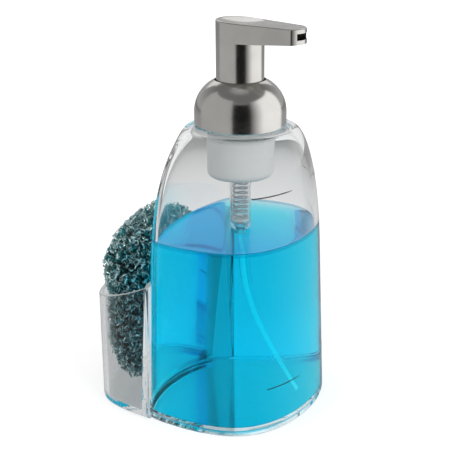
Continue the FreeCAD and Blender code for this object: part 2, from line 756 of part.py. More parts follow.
def make_actuator_core():
    """The inner body that carries the head on the air piston's hub and guides the foam."""
    flange_low = core_top - core_flange_height
    tube_bottom = hub_top - mesh_lift - mesh_carrier_height / 2
    fit = hub_radius + running_gap
    carrier_top = hub_top + mesh_lift + 2 * mesh_thickness + mesh_carrier_height
    rim = sleeve_bore_radius - core_gap
    channel_top = slot_centre + slot_height / 2
    outside = [(core_tube_radius, tube_bottom), (core_tube_radius, flange_low)]
    outside += [(rim, flange_low), (rim, core_top)]
    inside = [(0, core_top), (0, channel_top), (core_channel_radius, channel_top)]
    inside += [(core_channel_radius, carrier_top), (fit, carrier_top), (fit, tube_bottom)]
    body = turned(outside + inside)
    half_width = slot_width / 2 - slot_liner_wall
    half_height = slot_height / 2 - slot_liner_wall
    way = block(half_width, -sleeve_radius, 0, slot_centre - half_height, slot_centre + half_height)
    return body.cut(way)


def mesh_disc(bottom):
    """A disc of foam mesh: one plate with a square grid of holes."""
    disc = post(hub_radius, bottom, bottom + mesh_thickness)
    middle = (mesh_hole_count - 1) / 2
    low = bottom - cut_overrun
    tall = mesh_thickness + 2 * cut_overrun
    holes = []
    for row in range(mesh_hole_count):
        for column in range(mesh_hole_count):
            corner = Vector((column - middle) * mesh_hole_spacing, (row - middle) * mesh_hole_spacing, low)
            corner -= Vector(mesh_hole / 2, mesh_hole / 2, 0)
            holes.append(Part.makeBox(mesh_hole, mesh_hole, tall, corner))
    return disc.cut(holes)


def make_foam_mesh_lower():
    """The coarse mesh under the carrier."""
    return mesh_disc(hub_top + mesh_lift)


def make_mesh_carrier():
    """The short tube that holds the two meshes apart."""
    bottom = hub_top + mesh_lift + mesh_thickness
    return ring(hub_radius - mesh_carrier_wall, hub_radius, bottom, bottom + mesh_carrier_height)


def make_foam_mesh_upper():
    """The fine mesh on the carrier."""
    return mesh_disc(hub_top + mesh_lift + mesh_thickness + mesh_carrier_height)


pieces = {
    "base_plate": make_base_plate,
    "bottle_shell": make_bottle_shell,
    "scrubber_pocket": make_scrubber_pocket,
    "soap_fill": make_soap_fill,
    "scrubber": make_scrubber,
    "dome_collar": make_dome_collar,
    "closure_ring": make_closure_ring,
    "neck_gasket": make_neck_gasket,
    "pump_housing": make_pump_housing,
    "piston_stop_ring": make_piston_stop_ring,
    "valve_cage": make_valve_cage,
    "inlet_ball": make_inlet_ball,
    "return_spring": make_return_spring,
    "dip_tube": make_dip_tube,
    "feed_piston": make_feed_piston,
    "air_piston": make_air_piston,
    "air_valve": make_air_valve,
    "actuator_shell": make_actuator_shell,
    "actuator_core": make_actuator_core,
    "spout_liner": make_spout_liner,
    "mesh_carrier": make_mesh_carrier,
    "foam_mesh_lower": make_foam_mesh_lower,
    "foam_mesh_upper": make_foam_mesh_upper,
}

os.makedirs("parts", exist_ok=True)
for name, make in pieces.items():
    shape = make()
    solids = len(shape.Solids)
    print(name, "solids", solids, "valid", shape.isValid(), "volume", round(shape.Volume, 1))
    shape.exportStep("parts/" + name + ".step")
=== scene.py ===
"""Looks of a soap pump caddy: a clear bottle of blue soap, a nickel foam pump and a steel scrubber.

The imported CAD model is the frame. Sizes here are in millimetres, and meshes are written in metres.
"""
import json
import logging
import math
from collections.abc import Callable, Sequence
from dataclasses import dataclass
from enum import Enum

import bmesh
import bpy
import numpy as np
from mathutils import Matrix, Vector

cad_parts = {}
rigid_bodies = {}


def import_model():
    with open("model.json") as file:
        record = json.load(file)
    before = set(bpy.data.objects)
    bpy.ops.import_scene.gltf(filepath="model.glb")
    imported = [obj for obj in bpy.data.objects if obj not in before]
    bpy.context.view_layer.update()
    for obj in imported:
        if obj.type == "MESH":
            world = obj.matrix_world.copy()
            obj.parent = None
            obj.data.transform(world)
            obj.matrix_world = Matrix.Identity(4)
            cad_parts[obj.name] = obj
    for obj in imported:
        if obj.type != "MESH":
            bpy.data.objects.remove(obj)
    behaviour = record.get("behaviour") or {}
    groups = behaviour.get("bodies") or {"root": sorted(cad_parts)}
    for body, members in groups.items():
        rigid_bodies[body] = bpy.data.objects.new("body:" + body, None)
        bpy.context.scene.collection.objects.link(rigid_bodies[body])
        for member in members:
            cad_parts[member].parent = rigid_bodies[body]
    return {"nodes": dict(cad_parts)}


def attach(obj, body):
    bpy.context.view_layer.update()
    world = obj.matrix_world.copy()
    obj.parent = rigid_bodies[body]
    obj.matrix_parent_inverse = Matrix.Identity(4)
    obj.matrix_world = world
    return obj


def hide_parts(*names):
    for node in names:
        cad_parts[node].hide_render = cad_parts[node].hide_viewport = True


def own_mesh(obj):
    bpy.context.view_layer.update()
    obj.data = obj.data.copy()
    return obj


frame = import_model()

log = logging.getLogger("caddy")
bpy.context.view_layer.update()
MM = 0.001
NOISE_RANGE = (0.3, 0.7)
CORNER_SHARE = 0.45
STEADY_LIMIT = 60000

Colour = tuple[float, float, float]
Point = tuple[float, float, float]
Pair = tuple[float, float]
Faces = list[tuple[int, ...]]
Socket = bpy.types.NodeSocket
Reach = Callable[[np.ndarray, np.ndarray], np.ndarray]


class Body(Enum):
    """The CAD bodies that pieces ride on."""

    CADDY = "caddy"
    ENGINE = "engine"
    COLLAR = "collar"
    SCRUBBER = "scrubber"


class Ends(Enum):
    """How a stack of rings is closed."""

    CAPS = "caps"
    LOOP = "loop"


class Grain(Enum):
    """The way brush marks run on metal, as the noise's scale along each axis."""

    AROUND = (0.04, 0.04, 1.0)
    ALONG = (1.0, 0.05, 1.0)


# Shaders


def grey(level: float) -> tuple[float, float, float, float]:
    """An opaque grey of one level."""
    return level, level, level, 1.0


class Graph:
    """A node tree, with short calls for adding and joining nodes."""

    def __init__(self, tree: bpy.types.NodeTree) -> None:
        """Takes up a tree."""
        self.tree = tree

    def node(self, kind: str, sockets: dict | None = None, **settings: object) -> bpy.types.Node:
        """Adds a node.

        Args:
            kind: the node's type.
            sockets: values or output sockets for its inputs, by name or number.
            settings: values for the node's own properties.

        Returns:
            The node.
        """
        made = self.tree.nodes.new(kind)
        for key, value in settings.items():
            setattr(made, key, value)
        for key, value in (sockets or {}).items():
            if isinstance(value, Socket):
                self.tree.links.new(value, made.inputs[key])
            else:
                made.inputs[key].default_value = value
        return made

    def calc(self, operation: str, *values: float | Socket) -> Socket:
        """The result of a Math node on its values."""
        return self.node("ShaderNodeMath", dict(enumerate(values)), operation=operation).outputs[0]


class Shader(Graph):
    """One material's node tree."""

    def __init__(self, name: str) -> None:
        """Starts an empty material.

        Args:
            name: the material's name.
        """
        self.material = bpy.data.materials.new(name)
        self.material.use_nodes = True
        super().__init__(self.material.node_tree)
        self.tree.nodes.clear()
        self.output = self.node("ShaderNodeOutputMaterial")

    def where(self) -> Socket:
        """The object's own coordinates, in metres."""
        return self.node("ShaderNodeTexCoord").outputs["Object"]

    def noise(self, scale: float, detail: float, stretch: Colour = (1.0, 1.0, 1.0)) -> Socket:
        """Noise on the object's own coordinates.

        Args:
            scale: how many features a metre holds.
            detail: octaves of finer noise.
            stretch: scale along each axis.

        Returns:
            The noise value's socket.
        """
        mapped = self.node("ShaderNodeMapping", {"Vector": self.where(), "Scale": stretch})
        texture = {"Vector": mapped.outputs[0], "Scale": scale, "Detail": detail}
        return self.node("ShaderNodeTexNoise", texture).outputs[0]

    def spread(self, value: Socket, low: float, high: float) -> Socket:
        """A noise value spread between two levels."""
        start, end = NOISE_RANGE
        return self.node("ShaderNodeMapRange", {0: value, 1: start, 2: end, 3: low, 4: high}).outputs[0]

    def between(self, value: Socket, dark: Colour, light: Colour) -> Socket:
        """A colour that runs from one tone to another with a noise value.

        Args:
            value: the noise value's socket.
            dark: the tone at the noise's low end.
            light: the tone at its high end.

        Returns:
            The colour's socket.
        """
        ramp = self.node("ShaderNodeValToRGB", {"Fac": value})
        for stop, position, tone in zip(ramp.color_ramp.elements, NOISE_RANGE, (dark, light)):
            stop.position = position
            stop.color = (*tone, 1.0)
        return ramp.outputs[0]

    def bump(self, height: Socket, depth: float, strength: float = 1.0) -> Socket:
        """A bumped normal, with the bump's depth in millimetres."""
        sockets = {"Height": height, "Distance": depth * MM, "Strength": strength}
        return self.node("ShaderNodeBump", sockets).outputs[0]

    def principled(self, sockets: dict) -> Socket:
        """A Principled surface with these inputs."""
        return self.node("ShaderNodeBsdfPrincipled", sockets).outputs[0]

    def finish(self, surface: Socket, volume: Socket | None = None) -> bpy.types.Material:
        """Joins the material's ends to its output.

        Args:
            surface: the surface's shader.
            volume: the volume's shader, where there is one.

        Returns:
            The material.
        """
        self.tree.links.new(surface, self.output.inputs["Surface"])
        if volume is not None:
            self.tree.links.new(volume, self.output.inputs["Volume"])
        return self.material

    def lamp_clear(self, surface: Socket, tint: Colour) -> Socket:
        """Lets lamp light and bounced light straight through a clear surface.

        Args:
            surface: the clear surface's shader.
            tint: the share of that light that goes through.

        Returns:
            The mixed shader's socket.
        """
        rays = self.node("ShaderNodeLightPath").outputs
        through = self.node("ShaderNodeBsdfTransparent", {"Color": (*tint, 1.0)}).outputs[0]
        shadow = self.node("ShaderNodeMixShader", {0: rays["Is Shadow Ray"], 1: surface, 2: through})
        bounced = {0: rays["Is Diffuse Ray"], 1: shadow.outputs[0], 2: through}
        return self.node("ShaderNodeMixShader", bounced).outputs[0]


@dataclass(frozen=True)
class Finish:
    """A finish that is made into a material once, the first time that a piece asks for it."""

    name: str

    def paint(self, shader: Shader) -> bpy.types.Material:
        """Builds the material's nodes."""
        raise NotImplementedError

    def material(self) -> bpy.types.Material:
        """The finish's material."""
        label = f"{self.name}_finish"
        return bpy.data.materials.get(label) or self.paint(Shader(label))


@dataclass(frozen=True)
class ClearPlastic(Finish):
    """Clear or milky moulded plastic with faint flow ripples, and painted light as a glow where glow is set.
    """

    tint: Colour = (0.955, 0.962, 0.962)
    ior: float = 1.38
    haze: float = 0.02
    ripple: float = 0.02
    clearness: float = 1.0
    shine: float = 0.12
    # glow paints light into the surface as emission in glow_tone; it is no lamp
    glow: float = 0.0
    glow_tone: Colour = (0.6, 1.0, 1.0)
    flow_scale: float = 28.0
    flow_stretch: Colour = (1.0, 1.0, 0.5)
    speck_scale: float = 900.0
    dim_share: float = 0.985
    calm_share: float = 0.6

    def paint(self, shader: Shader) -> bpy.types.Material:
        """A see-through surface that lamps shine through, with painted light as emission where glow is set.

        Args:
            shader: the material's tree.

        Returns:
            The material.
        """
        flow = shader.noise(self.flow_scale, 1.0, self.flow_stretch)
        speck = shader.noise(self.speck_scale, 2.0)
        dim = tuple(self.dim_share * c for c in self.tint)
        surface = shader.principled({
            "Base Color": shader.between(flow, dim, self.tint),
            "Roughness": shader.spread(speck, self.calm_share * self.haze, self.haze),
            "Normal": shader.bump(flow, self.ripple),
            "IOR": self.ior,
            "Specular Tint": grey(self.shine),
            "Transmission Weight": self.clearness,
            # painted light: emission where glow is set
            "Emission Color": (*self.glow_tone, 1.0),
            "Emission Strength": self.glow,
        })
        return shader.finish(shader.lamp_clear(surface, self.tint))


@dataclass(frozen=True)
class LiquidSoap(Finish):
    """Clear blue soap that soaks up red light. The heights of the painted shade on its level top are in
    metres.
    """

    soaked: Colour = (0.0, 0.948, 0.9862)
    density: float = 112.0
    ior: float = 1.24
    shine: float = 0.3
    thin: Colour = (0.97, 0.99, 1.0)
    clear: Colour = (1.0, 1.0, 1.0)
    # Painted shade on the level top: its colour, the height where it begins and the rise over which it comes
    # in.
    painted_top_shade: Colour = (0.4, 0.6, 0.71)
    painted_top_shade_foot: float = 0.0955
    painted_top_shade_fade: float = 0.0005
    swirl_scale: float = 22.0

    def paint(self, shader: Shader) -> bpy.types.Material:
        """A smooth surface, with painted shade that deepens the tone of its level top, around an even
        absorbing volume.

        Args:
            shader: the material's tree.

        Returns:
            The material.
        """
        swirl = shader.noise(self.swirl_scale, 2.0)
        height = shader.node("ShaderNodeSeparateXYZ", {0: shader.where()}).outputs["Z"]
        # Painted shade: the level top takes the darker top colour in place of the swirled tone.
        rise = {0: height, 1: self.painted_top_shade_foot - self.painted_top_shade_fade, 2: self.painted_top_shade_foot}
        top = shader.node("ShaderNodeMapRange", rise).outputs[0]
        tones = {0: top, 6: shader.between(swirl, self.thin, self.clear), 7: (*self.painted_top_shade, 1.0)}
        surface = shader.principled({
            "Base Color": shader.node("ShaderNodeMix", tones, data_type="RGBA").outputs[2],
            "Roughness": shader.spread(swirl, 0.0, 0.01),
            "Normal": shader.bump(swirl, 0.02),
            "IOR": self.ior,
            "Specular Tint": grey(self.shine),
            "Transmission Weight": 1.0,
        })
        soaking = {"Color": (*self.soaked, 1.0), "Density": self.density}
        volume = shader.node("ShaderNodeVolumeAbsorption", soaking).outputs[0]
        return shader.finish(shader.lamp_clear(surface, self.clear), volume)


@dataclass(frozen=True)
class BrushedMetal(Finish):
    """Satin metal with fine brush marks."""

    dark: Colour = (0.55, 0.535, 0.51)
    light: Colour = (0.63, 0.615, 0.59)
    rough: Pair = (0.13, 0.21)
    grain: Grain = Grain.AROUND
    depth: float = 0.006
    mark_scale: float = 9000.0
    cloud_scale: float = 60.0

    def paint(self, shader: Shader) -> bpy.types.Material:
        """Metal whose roughness and bump follow the brush marks.

        Args:
            shader: the material's tree.

        Returns:
            The material.
        """
        marks = shader.noise(self.mark_scale, 3.0, self.grain.value)
        cloud = shader.noise(self.cloud_scale, 2.0)
        return shader.finish(shader.principled({
            "Base Color": shader.between(cloud, self.dark, self.light),
            "Metallic": 1.0,
            "Roughness": shader.spread(marks, *self.rough),
            "Normal": shader.bump(marks, self.depth, 0.5),
            "Anisotropic": 0.35,
        }))


@dataclass(frozen=True)
class SteelRibbon(Finish):
    """Flat steel thread whose tone changes from loop to loop."""

    dark: Colour = (0.03, 0.26, 0.28)
    light: Colour = (0.8, 1.0, 1.0)
    rough: Pair = (0.1, 0.22)
    mark_scale: float = 2500.0

    def paint(self, shader: Shader) -> bpy.types.Material:
        """Metal whose tone follows the loops' own number, with fine drawing marks.

        Args:
            shader: the material's tree.

        Returns:
            The material.
        """
        tone = shader.node("ShaderNodeAttribute", attribute_name="tone").outputs["Fac"]
        marks = shader.noise(self.mark_scale, 2.0)
        return shader.finish(shader.principled({
            "Base Color": shader.between(tone, self.dark, self.light),
            "Metallic": 0.85,
            "Roughness": shader.spread(marks, *self.rough),
            "Normal": shader.bump(marks, 0.02, 0.4),
        }))


@dataclass(frozen=True)
class MouldedPlastic(Finish):
    """Solid moulded plastic, rubber or ink with a fine grain, and the painted shade in the scrubber's depths.
    """

    dark: Colour = (0.70, 0.71, 0.71)
    light: Colour = (0.80, 0.80, 0.80)
    rough: Pair = (0.32, 0.45)
    grain_depth: float = 0.03
    cloud_scale: float = 45.0
    grain_scale: float = 2200.0

    def paint(self, shader: Shader) -> bpy.types.Material:
        """A dull surface with a slight change of tone and a moulded grain.

        Args:
            shader: the material's tree.

        Returns:
            The material.
        """
        cloud = shader.noise(self.cloud_scale, 3.0)
        grain = shader.noise(self.grain_scale, 2.0)
        return shader.finish(shader.principled({
            "Base Color": shader.between(cloud, self.dark, self.light),
            "Roughness": shader.spread(grain, *self.rough),
            "Normal": shader.bump(grain, self.grain_depth, 0.5),
            "IOR": 1.46,
        }))


CLEAR = ClearPlastic("clear_plastic")
FOOT = ClearPlastic("foot_plastic", tint=(0.93, 0.95, 0.96), ior=1.345)
MILKY = ClearPlastic("milky_plastic", tint=(0.97, 0.975, 0.98), ior=1.25, haze=0.4, clearness=0.05)
CUP = ClearPlastic("cup_plastic", tint=(0.69, 0.705, 0.71), haze=0.004)
TUBE = ClearPlastic("feed_plastic", tint=(0.97, 0.98, 0.99), ior=1.22, haze=0.08, clearness=0.82)
WETTED = ClearPlastic("tube_plastic", tint=(0.99, 1.0, 1.0), ior=1.006, haze=0.02)
# The tube core's glow is painted light, so that the dip tube reads paler than the soap round it.
TUBE_CORE = ClearPlastic("tube_core", tint=(0.9, 1.0, 1.0), ior=1.02, haze=0.2, clearness=0.85, glow=0.13)
SOAP = LiquidSoap("liquid_soap")
NICKEL = BrushedMetal("brushed_nickel")
NICKEL_HEAD = BrushedMetal("brushed_nickel_head", grain=Grain.ALONG)
SPRING = BrushedMetal("spring_steel", (0.24, 0.25, 0.26), (0.36, 0.37, 0.38), (0.2, 0.32))
RIBBON = SteelRibbon("scrubber_steel")
# Painted shade: a near-black core that fills the scrubber's depths, where only shade shows between the loops.
SHADE = MouldedPlastic("scrubber_shade", (0.006, 0.014, 0.015), (0.016, 0.032, 0.034), (0.4, 0.6), 0.4)
WHITE = MouldedPlastic("white_plastic")
DARK = MouldedPlastic("dark_plastic", (0.012, 0.012, 0.013), (0.028, 0.028, 0.03))
RUBBER = MouldedPlastic("seal_rubber", (0.03, 0.03, 0.032), (0.05, 0.05, 0.052), (0.55, 0.7))
INK = MouldedPlastic("mark_ink", (0.012, 0.013, 0.016), (0.03, 0.032, 0.036), (0.5, 0.65), 0.01)


# Meshes


def compass(count: int, start: float = 0.0, end: float = 2 * math.pi, last: bool = False) -> np.ndarray:
    """Directions about the pump's axis, as unit vectors.

    Args:
        count: how many.
        start: the first one's angle.
        end: the last one's angle.
        last: whether the end itself is one of them.

    Returns:
        An array of (x, y) rows.
    """
    angles = np.linspace(start, end, count, endpoint=last)
    return np.column_stack([np.cos(angles), np.sin(angles)])


def way_at(angle: float) -> np.ndarray:
    """One direction about the pump's axis, as an array of one row."""
    return np.array([[math.cos(angle), math.sin(angle)]])


def level_ring(ways: np.ndarray, reach: float | np.ndarray, height: float) -> np.ndarray:
    """Level points that lie a reach along each direction."""
    return np.column_stack([ways * np.reshape(reach, (-1, 1)), np.full(len(ways), height)])


def rounded(corners: list[Point], steps: int = 5) -> np.ndarray:
    """A closed outline with rounded corners.

    Args:
        corners: each corner's radius from the axis, height and rounding.
        steps: points on each rounding.

    Returns:
        An array of (radius, height) rows.
    """
    points = []
    for i, (radius, height, rounding) in enumerate(corners):
        here = np.array([radius, height])
        before = np.array(corners[i - 1][:2]) - here
        after = np.array(corners[(i + 1) % len(corners)][:2]) - here
        sides = np.linalg.norm(before), np.linalg.norm(after)
        reach = min(rounding, *(CORNER_SHARE * side for side in sides))
        if reach <= 0:
            points.append(here)
            continue
        first = here + before / sides[0] * reach
        final = here + after / sides[1] * reach
        for s in np.linspace(0, 1, steps):
            points.append((1 - s) ** 2 * first + 2 * s * (1 - s) * here + s ** 2 * final)
    return np.array(points)


def stack(rings: Sequence[np.ndarray], ends: Ends) -> tuple[np.ndarray, Faces]:
    """Joins rings of points into a closed surface.

    Args:
        rings: the rings, each with the same number of points.
        ends: whether the last ring joins the first, or both get a cap.

    Returns:
        The points and faces.
    """
    points = np.array(rings)
    levels, count = points.shape[:2]
    faces: Faces = []
    for row in range(levels if ends is Ends.LOOP else levels - 1):
        low = row * count
        high = (row + 1) % levels * count
        for i in range(count):
            j = (i + 1) % count
            faces.append((low + i, low + j, high + j, high + i))
    if ends is Ends.CAPS:
        faces.append(tuple(range(count))[::-1])
        faces.append(tuple(range((levels - 1) * count, levels * count)))
    return points.reshape(-1, 3), faces


def turned(outline: Sequence[Pair] | np.ndarray, count: int = 160) -> tuple[np.ndarray, Faces]:
    """A closed outline of (radius, height) rows turned about the pump's axis."""
    ways = compass(count)
    return stack([level_ring(ways, radius, height) for radius, height in outline], Ends.LOOP)


def linked(name: str, data: bpy.types.ID) -> bpy.types.Object:
    """A new object with its data, in the scene.

    Args:
        name: the object's name.
        data: its mesh, camera or lamp.

    Returns:
        The object.
    """
    made = bpy.data.objects.new(name, data)
    bpy.context.scene.collection.objects.link(made)
    return made


def bare(name: str, line: Sequence[Point] = ()) -> bpy.types.Object:
    """An object for a recipe to build on, empty or with a line of edges.

    Args:
        name: the object's name.
        line: the line's points, in millimetres.

    Returns:
        The object.
    """
    mesh = bpy.data.meshes.new(name)
    edges = [(i, i + 1) for i in range(len(line) - 1)]
    mesh.from_pydata([tuple(c * MM for c in point) for point in line], edges, [])
    return linked(name, mesh)


def solid(name: str, points: np.ndarray, faces: Faces, sharp: float = 35.0) -> bpy.types.Object:
    """Makes an object from points in millimetres, with doubled points merged and faces outwards.

    Args:
        name: the object's name.
        points: an array of (x, y, z) rows.
        faces: the faces, as rows of point numbers.
        sharp: the angle, in degrees, above which an edge stays sharp.

    Returns:
        The object, smooth shaded.
    """
    mesh = bpy.data.meshes.new(name)
    mesh.from_pydata((points * MM).tolist(), [], faces)
    work = bmesh.new()
    work.from_mesh(mesh)
    bmesh.ops.remove_doubles(work, verts=work.verts, dist=1e-7)
    bmesh.ops.recalc_face_normals(work, faces=work.faces)
    work.to_mesh(mesh)
    work.free()
    mesh.shade_smooth()
    mesh.set_sharp_from_angle(angle=math.radians(sharp))
    return linked(name, mesh)


def settle(piece: bpy.types.Object) -> bpy.types.Object:
    """Turns a piece's modifiers into plain mesh.

    Args:
        piece: the object.

    Returns:
        The piece, with its new mesh.
    """
    graph = bpy.context.evaluated_depsgraph_get()
    mesh = bpy.data.meshes.new_from_object(piece.evaluated_get(graph))
    mesh.name = piece.name
    piece.modifiers.clear()
    piece.data = mesh
    return piece


def place(piece: bpy.types.Object, finish: Finish, body: Body, slot: str, *nodes: str) -> bpy.types.Object:
    """Dresses a piece and hangs it on its CAD body.

    Args:
        piece: the object.
        finish: what it is made of.
        body: the CAD body that carries it.
        slot: the record's material slot; not used.
        nodes: the CAD nodes that it stands for.

    Returns:
        The piece.
    """
    if not piece.data.materials:
        piece.data.materials.append(finish.material())
    if len(piece.data.polygons) < STEADY_LIMIT:
        steady = piece.modifiers.new("steady", "WEIGHTED_NORMAL")
        steady.keep_sharp = True
        settle(piece)
    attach(piece, body.value)
    if nodes:
        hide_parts(*nodes)
    log.info("%s: %d faces on %s", piece.name, len(piece.data.polygons), body.value)
    return piece


def dress(finish: Finish, *nodes: str) -> None:
    """Gives CAD nodes that stay in view their finish.

    Args:
        finish: what they are made of.
        nodes: the CAD nodes' names.
    """
    for node in nodes:
        materials = frame["nodes"][node].data.materials
        materials.clear()
        materials.append(finish.material())
        log.info("%s: CAD node in %s", node, finish.name)


# Geometry Nodes


class Recipe(Graph):
    """A Geometry Nodes tree that ends in one material, with named inputs."""

    def __init__(self, name: str, inputs: dict[str, str]) -> None:
        """Starts a tree.

        Args:
            name: the tree's name.
            inputs: each input's name and kind of value, such as Float.
        """
        super().__init__(bpy.data.node_groups.new(name, "GeometryNodeTree"))
        sockets = self.tree.interface
        sockets.new_socket("Geometry", in_out="OUTPUT", socket_type="NodeSocketGeometry")
        for label, kind in {"Geometry": "Geometry", **inputs, "Material": "Material"}.items():
            sockets.new_socket(label, in_out="INPUT", socket_type=f"NodeSocket{kind}")
        self.given = self.tree.nodes.new("NodeGroupInput").outputs

    def helix(self, turns: float | Socket, radius: Socket, rise: Socket, steps: int) -> Socket:
        """A path wound about the Z axis.

        Args:
            turns: how many turns it makes.
            radius: its radius.
            rise: its height from end to end.
            steps: points on each turn.

        Returns:
            The path's socket.
        """
        made = self.node("GeometryNodeCurveSpiral", {
            "Resolution": steps, "Rotations": turns, "Start Radius": radius, "End Radius": radius,
            "Height": rise})
        return made.outputs[0]

    def circle(self, radius: float | Socket, steps: int) -> Socket:
        """A round section with a number of points."""
        sizes = {"Resolution": steps, "Radius": radius}
        return self.node("GeometryNodeCurvePrimitiveCircle", sizes).outputs[0]

    def swept(self, path: Socket, section: Socket) -> Socket:
        """A section carried along a path, with closed ends."""
        sockets = {"Curve": path, "Profile Curve": section, "Fill Caps": True}
        return self.node("GeometryNodeCurveToMesh", sockets).outputs[0]

    def chance(self, low: float | Socket, high: float | Socket, seed: int) -> Socket:
        """A random number for each point or instance."""
        sockets = {2: low, 3: high, "Seed": seed}
        return self.node("FunctionNodeRandomValue", sockets, data_type="FLOAT").outputs[1]

    def close(self, shape: Socket) -> None:
        """Ends the tree with plain smooth mesh in the given material.

        Args:
            shape: the geometry that the tree has made.
        """
        plain = self.node("GeometryNodeRealizeInstances", {"Geometry": shape}).outputs[0]
        smooth = self.node("GeometryNodeSetShadeSmooth", {"Geometry": plain, "Shade Smooth": True}).outputs[0]
        coat = {"Geometry": smooth, "Material": self.given["Material"]}
        painted = self.node("GeometryNodeSetMaterial", coat).outputs[0]
        self.node("NodeGroupOutput", {0: painted})

    def cook(self, piece: bpy.types.Object, values: dict, finish: Finish) -> bpy.types.Object:
        """Runs the tree on a piece and keeps its result as plain mesh.

        Args:
            piece: the object whose mesh goes in.
            values: the named inputs' values.
            finish: what the result is made of.

        Returns:
            The piece, with the new mesh.
        """
        step = piece.modifiers.new(self.tree.name, "NODES")
        step.node_group = self.tree
        given = {**values, "Material": finish.material()}
        for item in self.tree.interface.items_tree:
            if item.in_out == "INPUT" and item.name in given:
                step[item.identifier] = given[item.name]
        piece.update_tag()
        bpy.context.view_layer.update()
        return settle(piece)


def coil_recipe() -> Recipe:
    """A round wire wound in a helix about the pump's axis.

    Returns:
        The recipe.
    """
    inputs = {"Turns": "Float", "Radius": "Float", "Height": "Float", "Wire": "Float", "Foot": "Vector"}
    recipe = Recipe("wound_wire", inputs)
    given = recipe.given
    path = recipe.helix(given["Turns"], given["Radius"], given["Height"], 40)
    wire = recipe.swept(path, recipe.circle(given["Wire"], 10))
    moved = recipe.node("GeometryNodeTransform", {"Geometry": wire, "Translation": given["Foot"]})
    recipe.close(moved.outputs[0])
    return recipe


def bar_recipe() -> Recipe:
    """A round bar that follows a line of edges.

    Returns:
        The recipe.
    """
    recipe = Recipe("bar_on_line", {"Radius": "Float"})
    path = recipe.node("GeometryNodeMeshToCurve", {"Mesh": recipe.given["Geometry"]}).outputs[0]
    recipe.close(recipe.swept(path, recipe.circle(recipe.given["Radius"], 20)))
    return recipe


def loop_recipe() -> Recipe:
    """Small open loops of flat thread, strewn in and over a surface.

    Returns:
        The recipe.
    """
    lengths = ("Density", "Loop Radius", "Thread Width", "Thread Thickness", "Depth")
    recipe = Recipe("steel_loops", {**{label: "Float" for label in lengths}, "Seed": "Int"})
    given = recipe.given
    path = recipe.helix(1.1, given["Loop Radius"], given["Loop Radius"], 8)
    sizes = {0: given["Thread Thickness"], 1: given["Thread Width"], 2: 1.0}
    shape = recipe.node("ShaderNodeCombineXYZ", sizes).outputs[0]
    flat = recipe.node("GeometryNodeTransform", {"Geometry": recipe.circle(0.5, 3), "Scale": shape})
    thread = recipe.swept(path, flat.outputs[0])
    strewn = recipe.node("GeometryNodeDistributePointsOnFaces", {
        "Mesh": given["Geometry"], "Density": given["Density"], "Seed": given["Seed"]}).outputs
    lift = {0: strewn["Normal"], "Scale": recipe.chance(0.0, given["Depth"], 3)}
    offset = recipe.node("ShaderNodeVectorMath", lift, operation="SCALE").outputs[0]
    moved = recipe.node("GeometryNodeSetPosition", {"Geometry": strewn["Points"], "Offset": offset})
    any_way = {0: (-math.pi,) * 3, 1: (math.pi,) * 3, "Seed": 5}
    turn = recipe.node("FunctionNodeRandomValue", any_way, data_type="FLOAT_VECTOR")
    set_out = recipe.node("GeometryNodeInstanceOnPoints", {
        "Points": moved.outputs[0], "Instance": thread, "Rotation": turn.outputs[0],
        "Scale": recipe.chance(0.65, 1.2, 7)})
    toned = recipe.node("GeometryNodeStoreNamedAttribute", {
        "Geometry": set_out.outputs[0], "Name": "tone", "Value": recipe.chance(0.1, 0.9, 11)},
        data_type="FLOAT", domain="INSTANCE")
    recipe.close(toned.outputs[0])
    return recipe


# The bottle's and pocket's plan


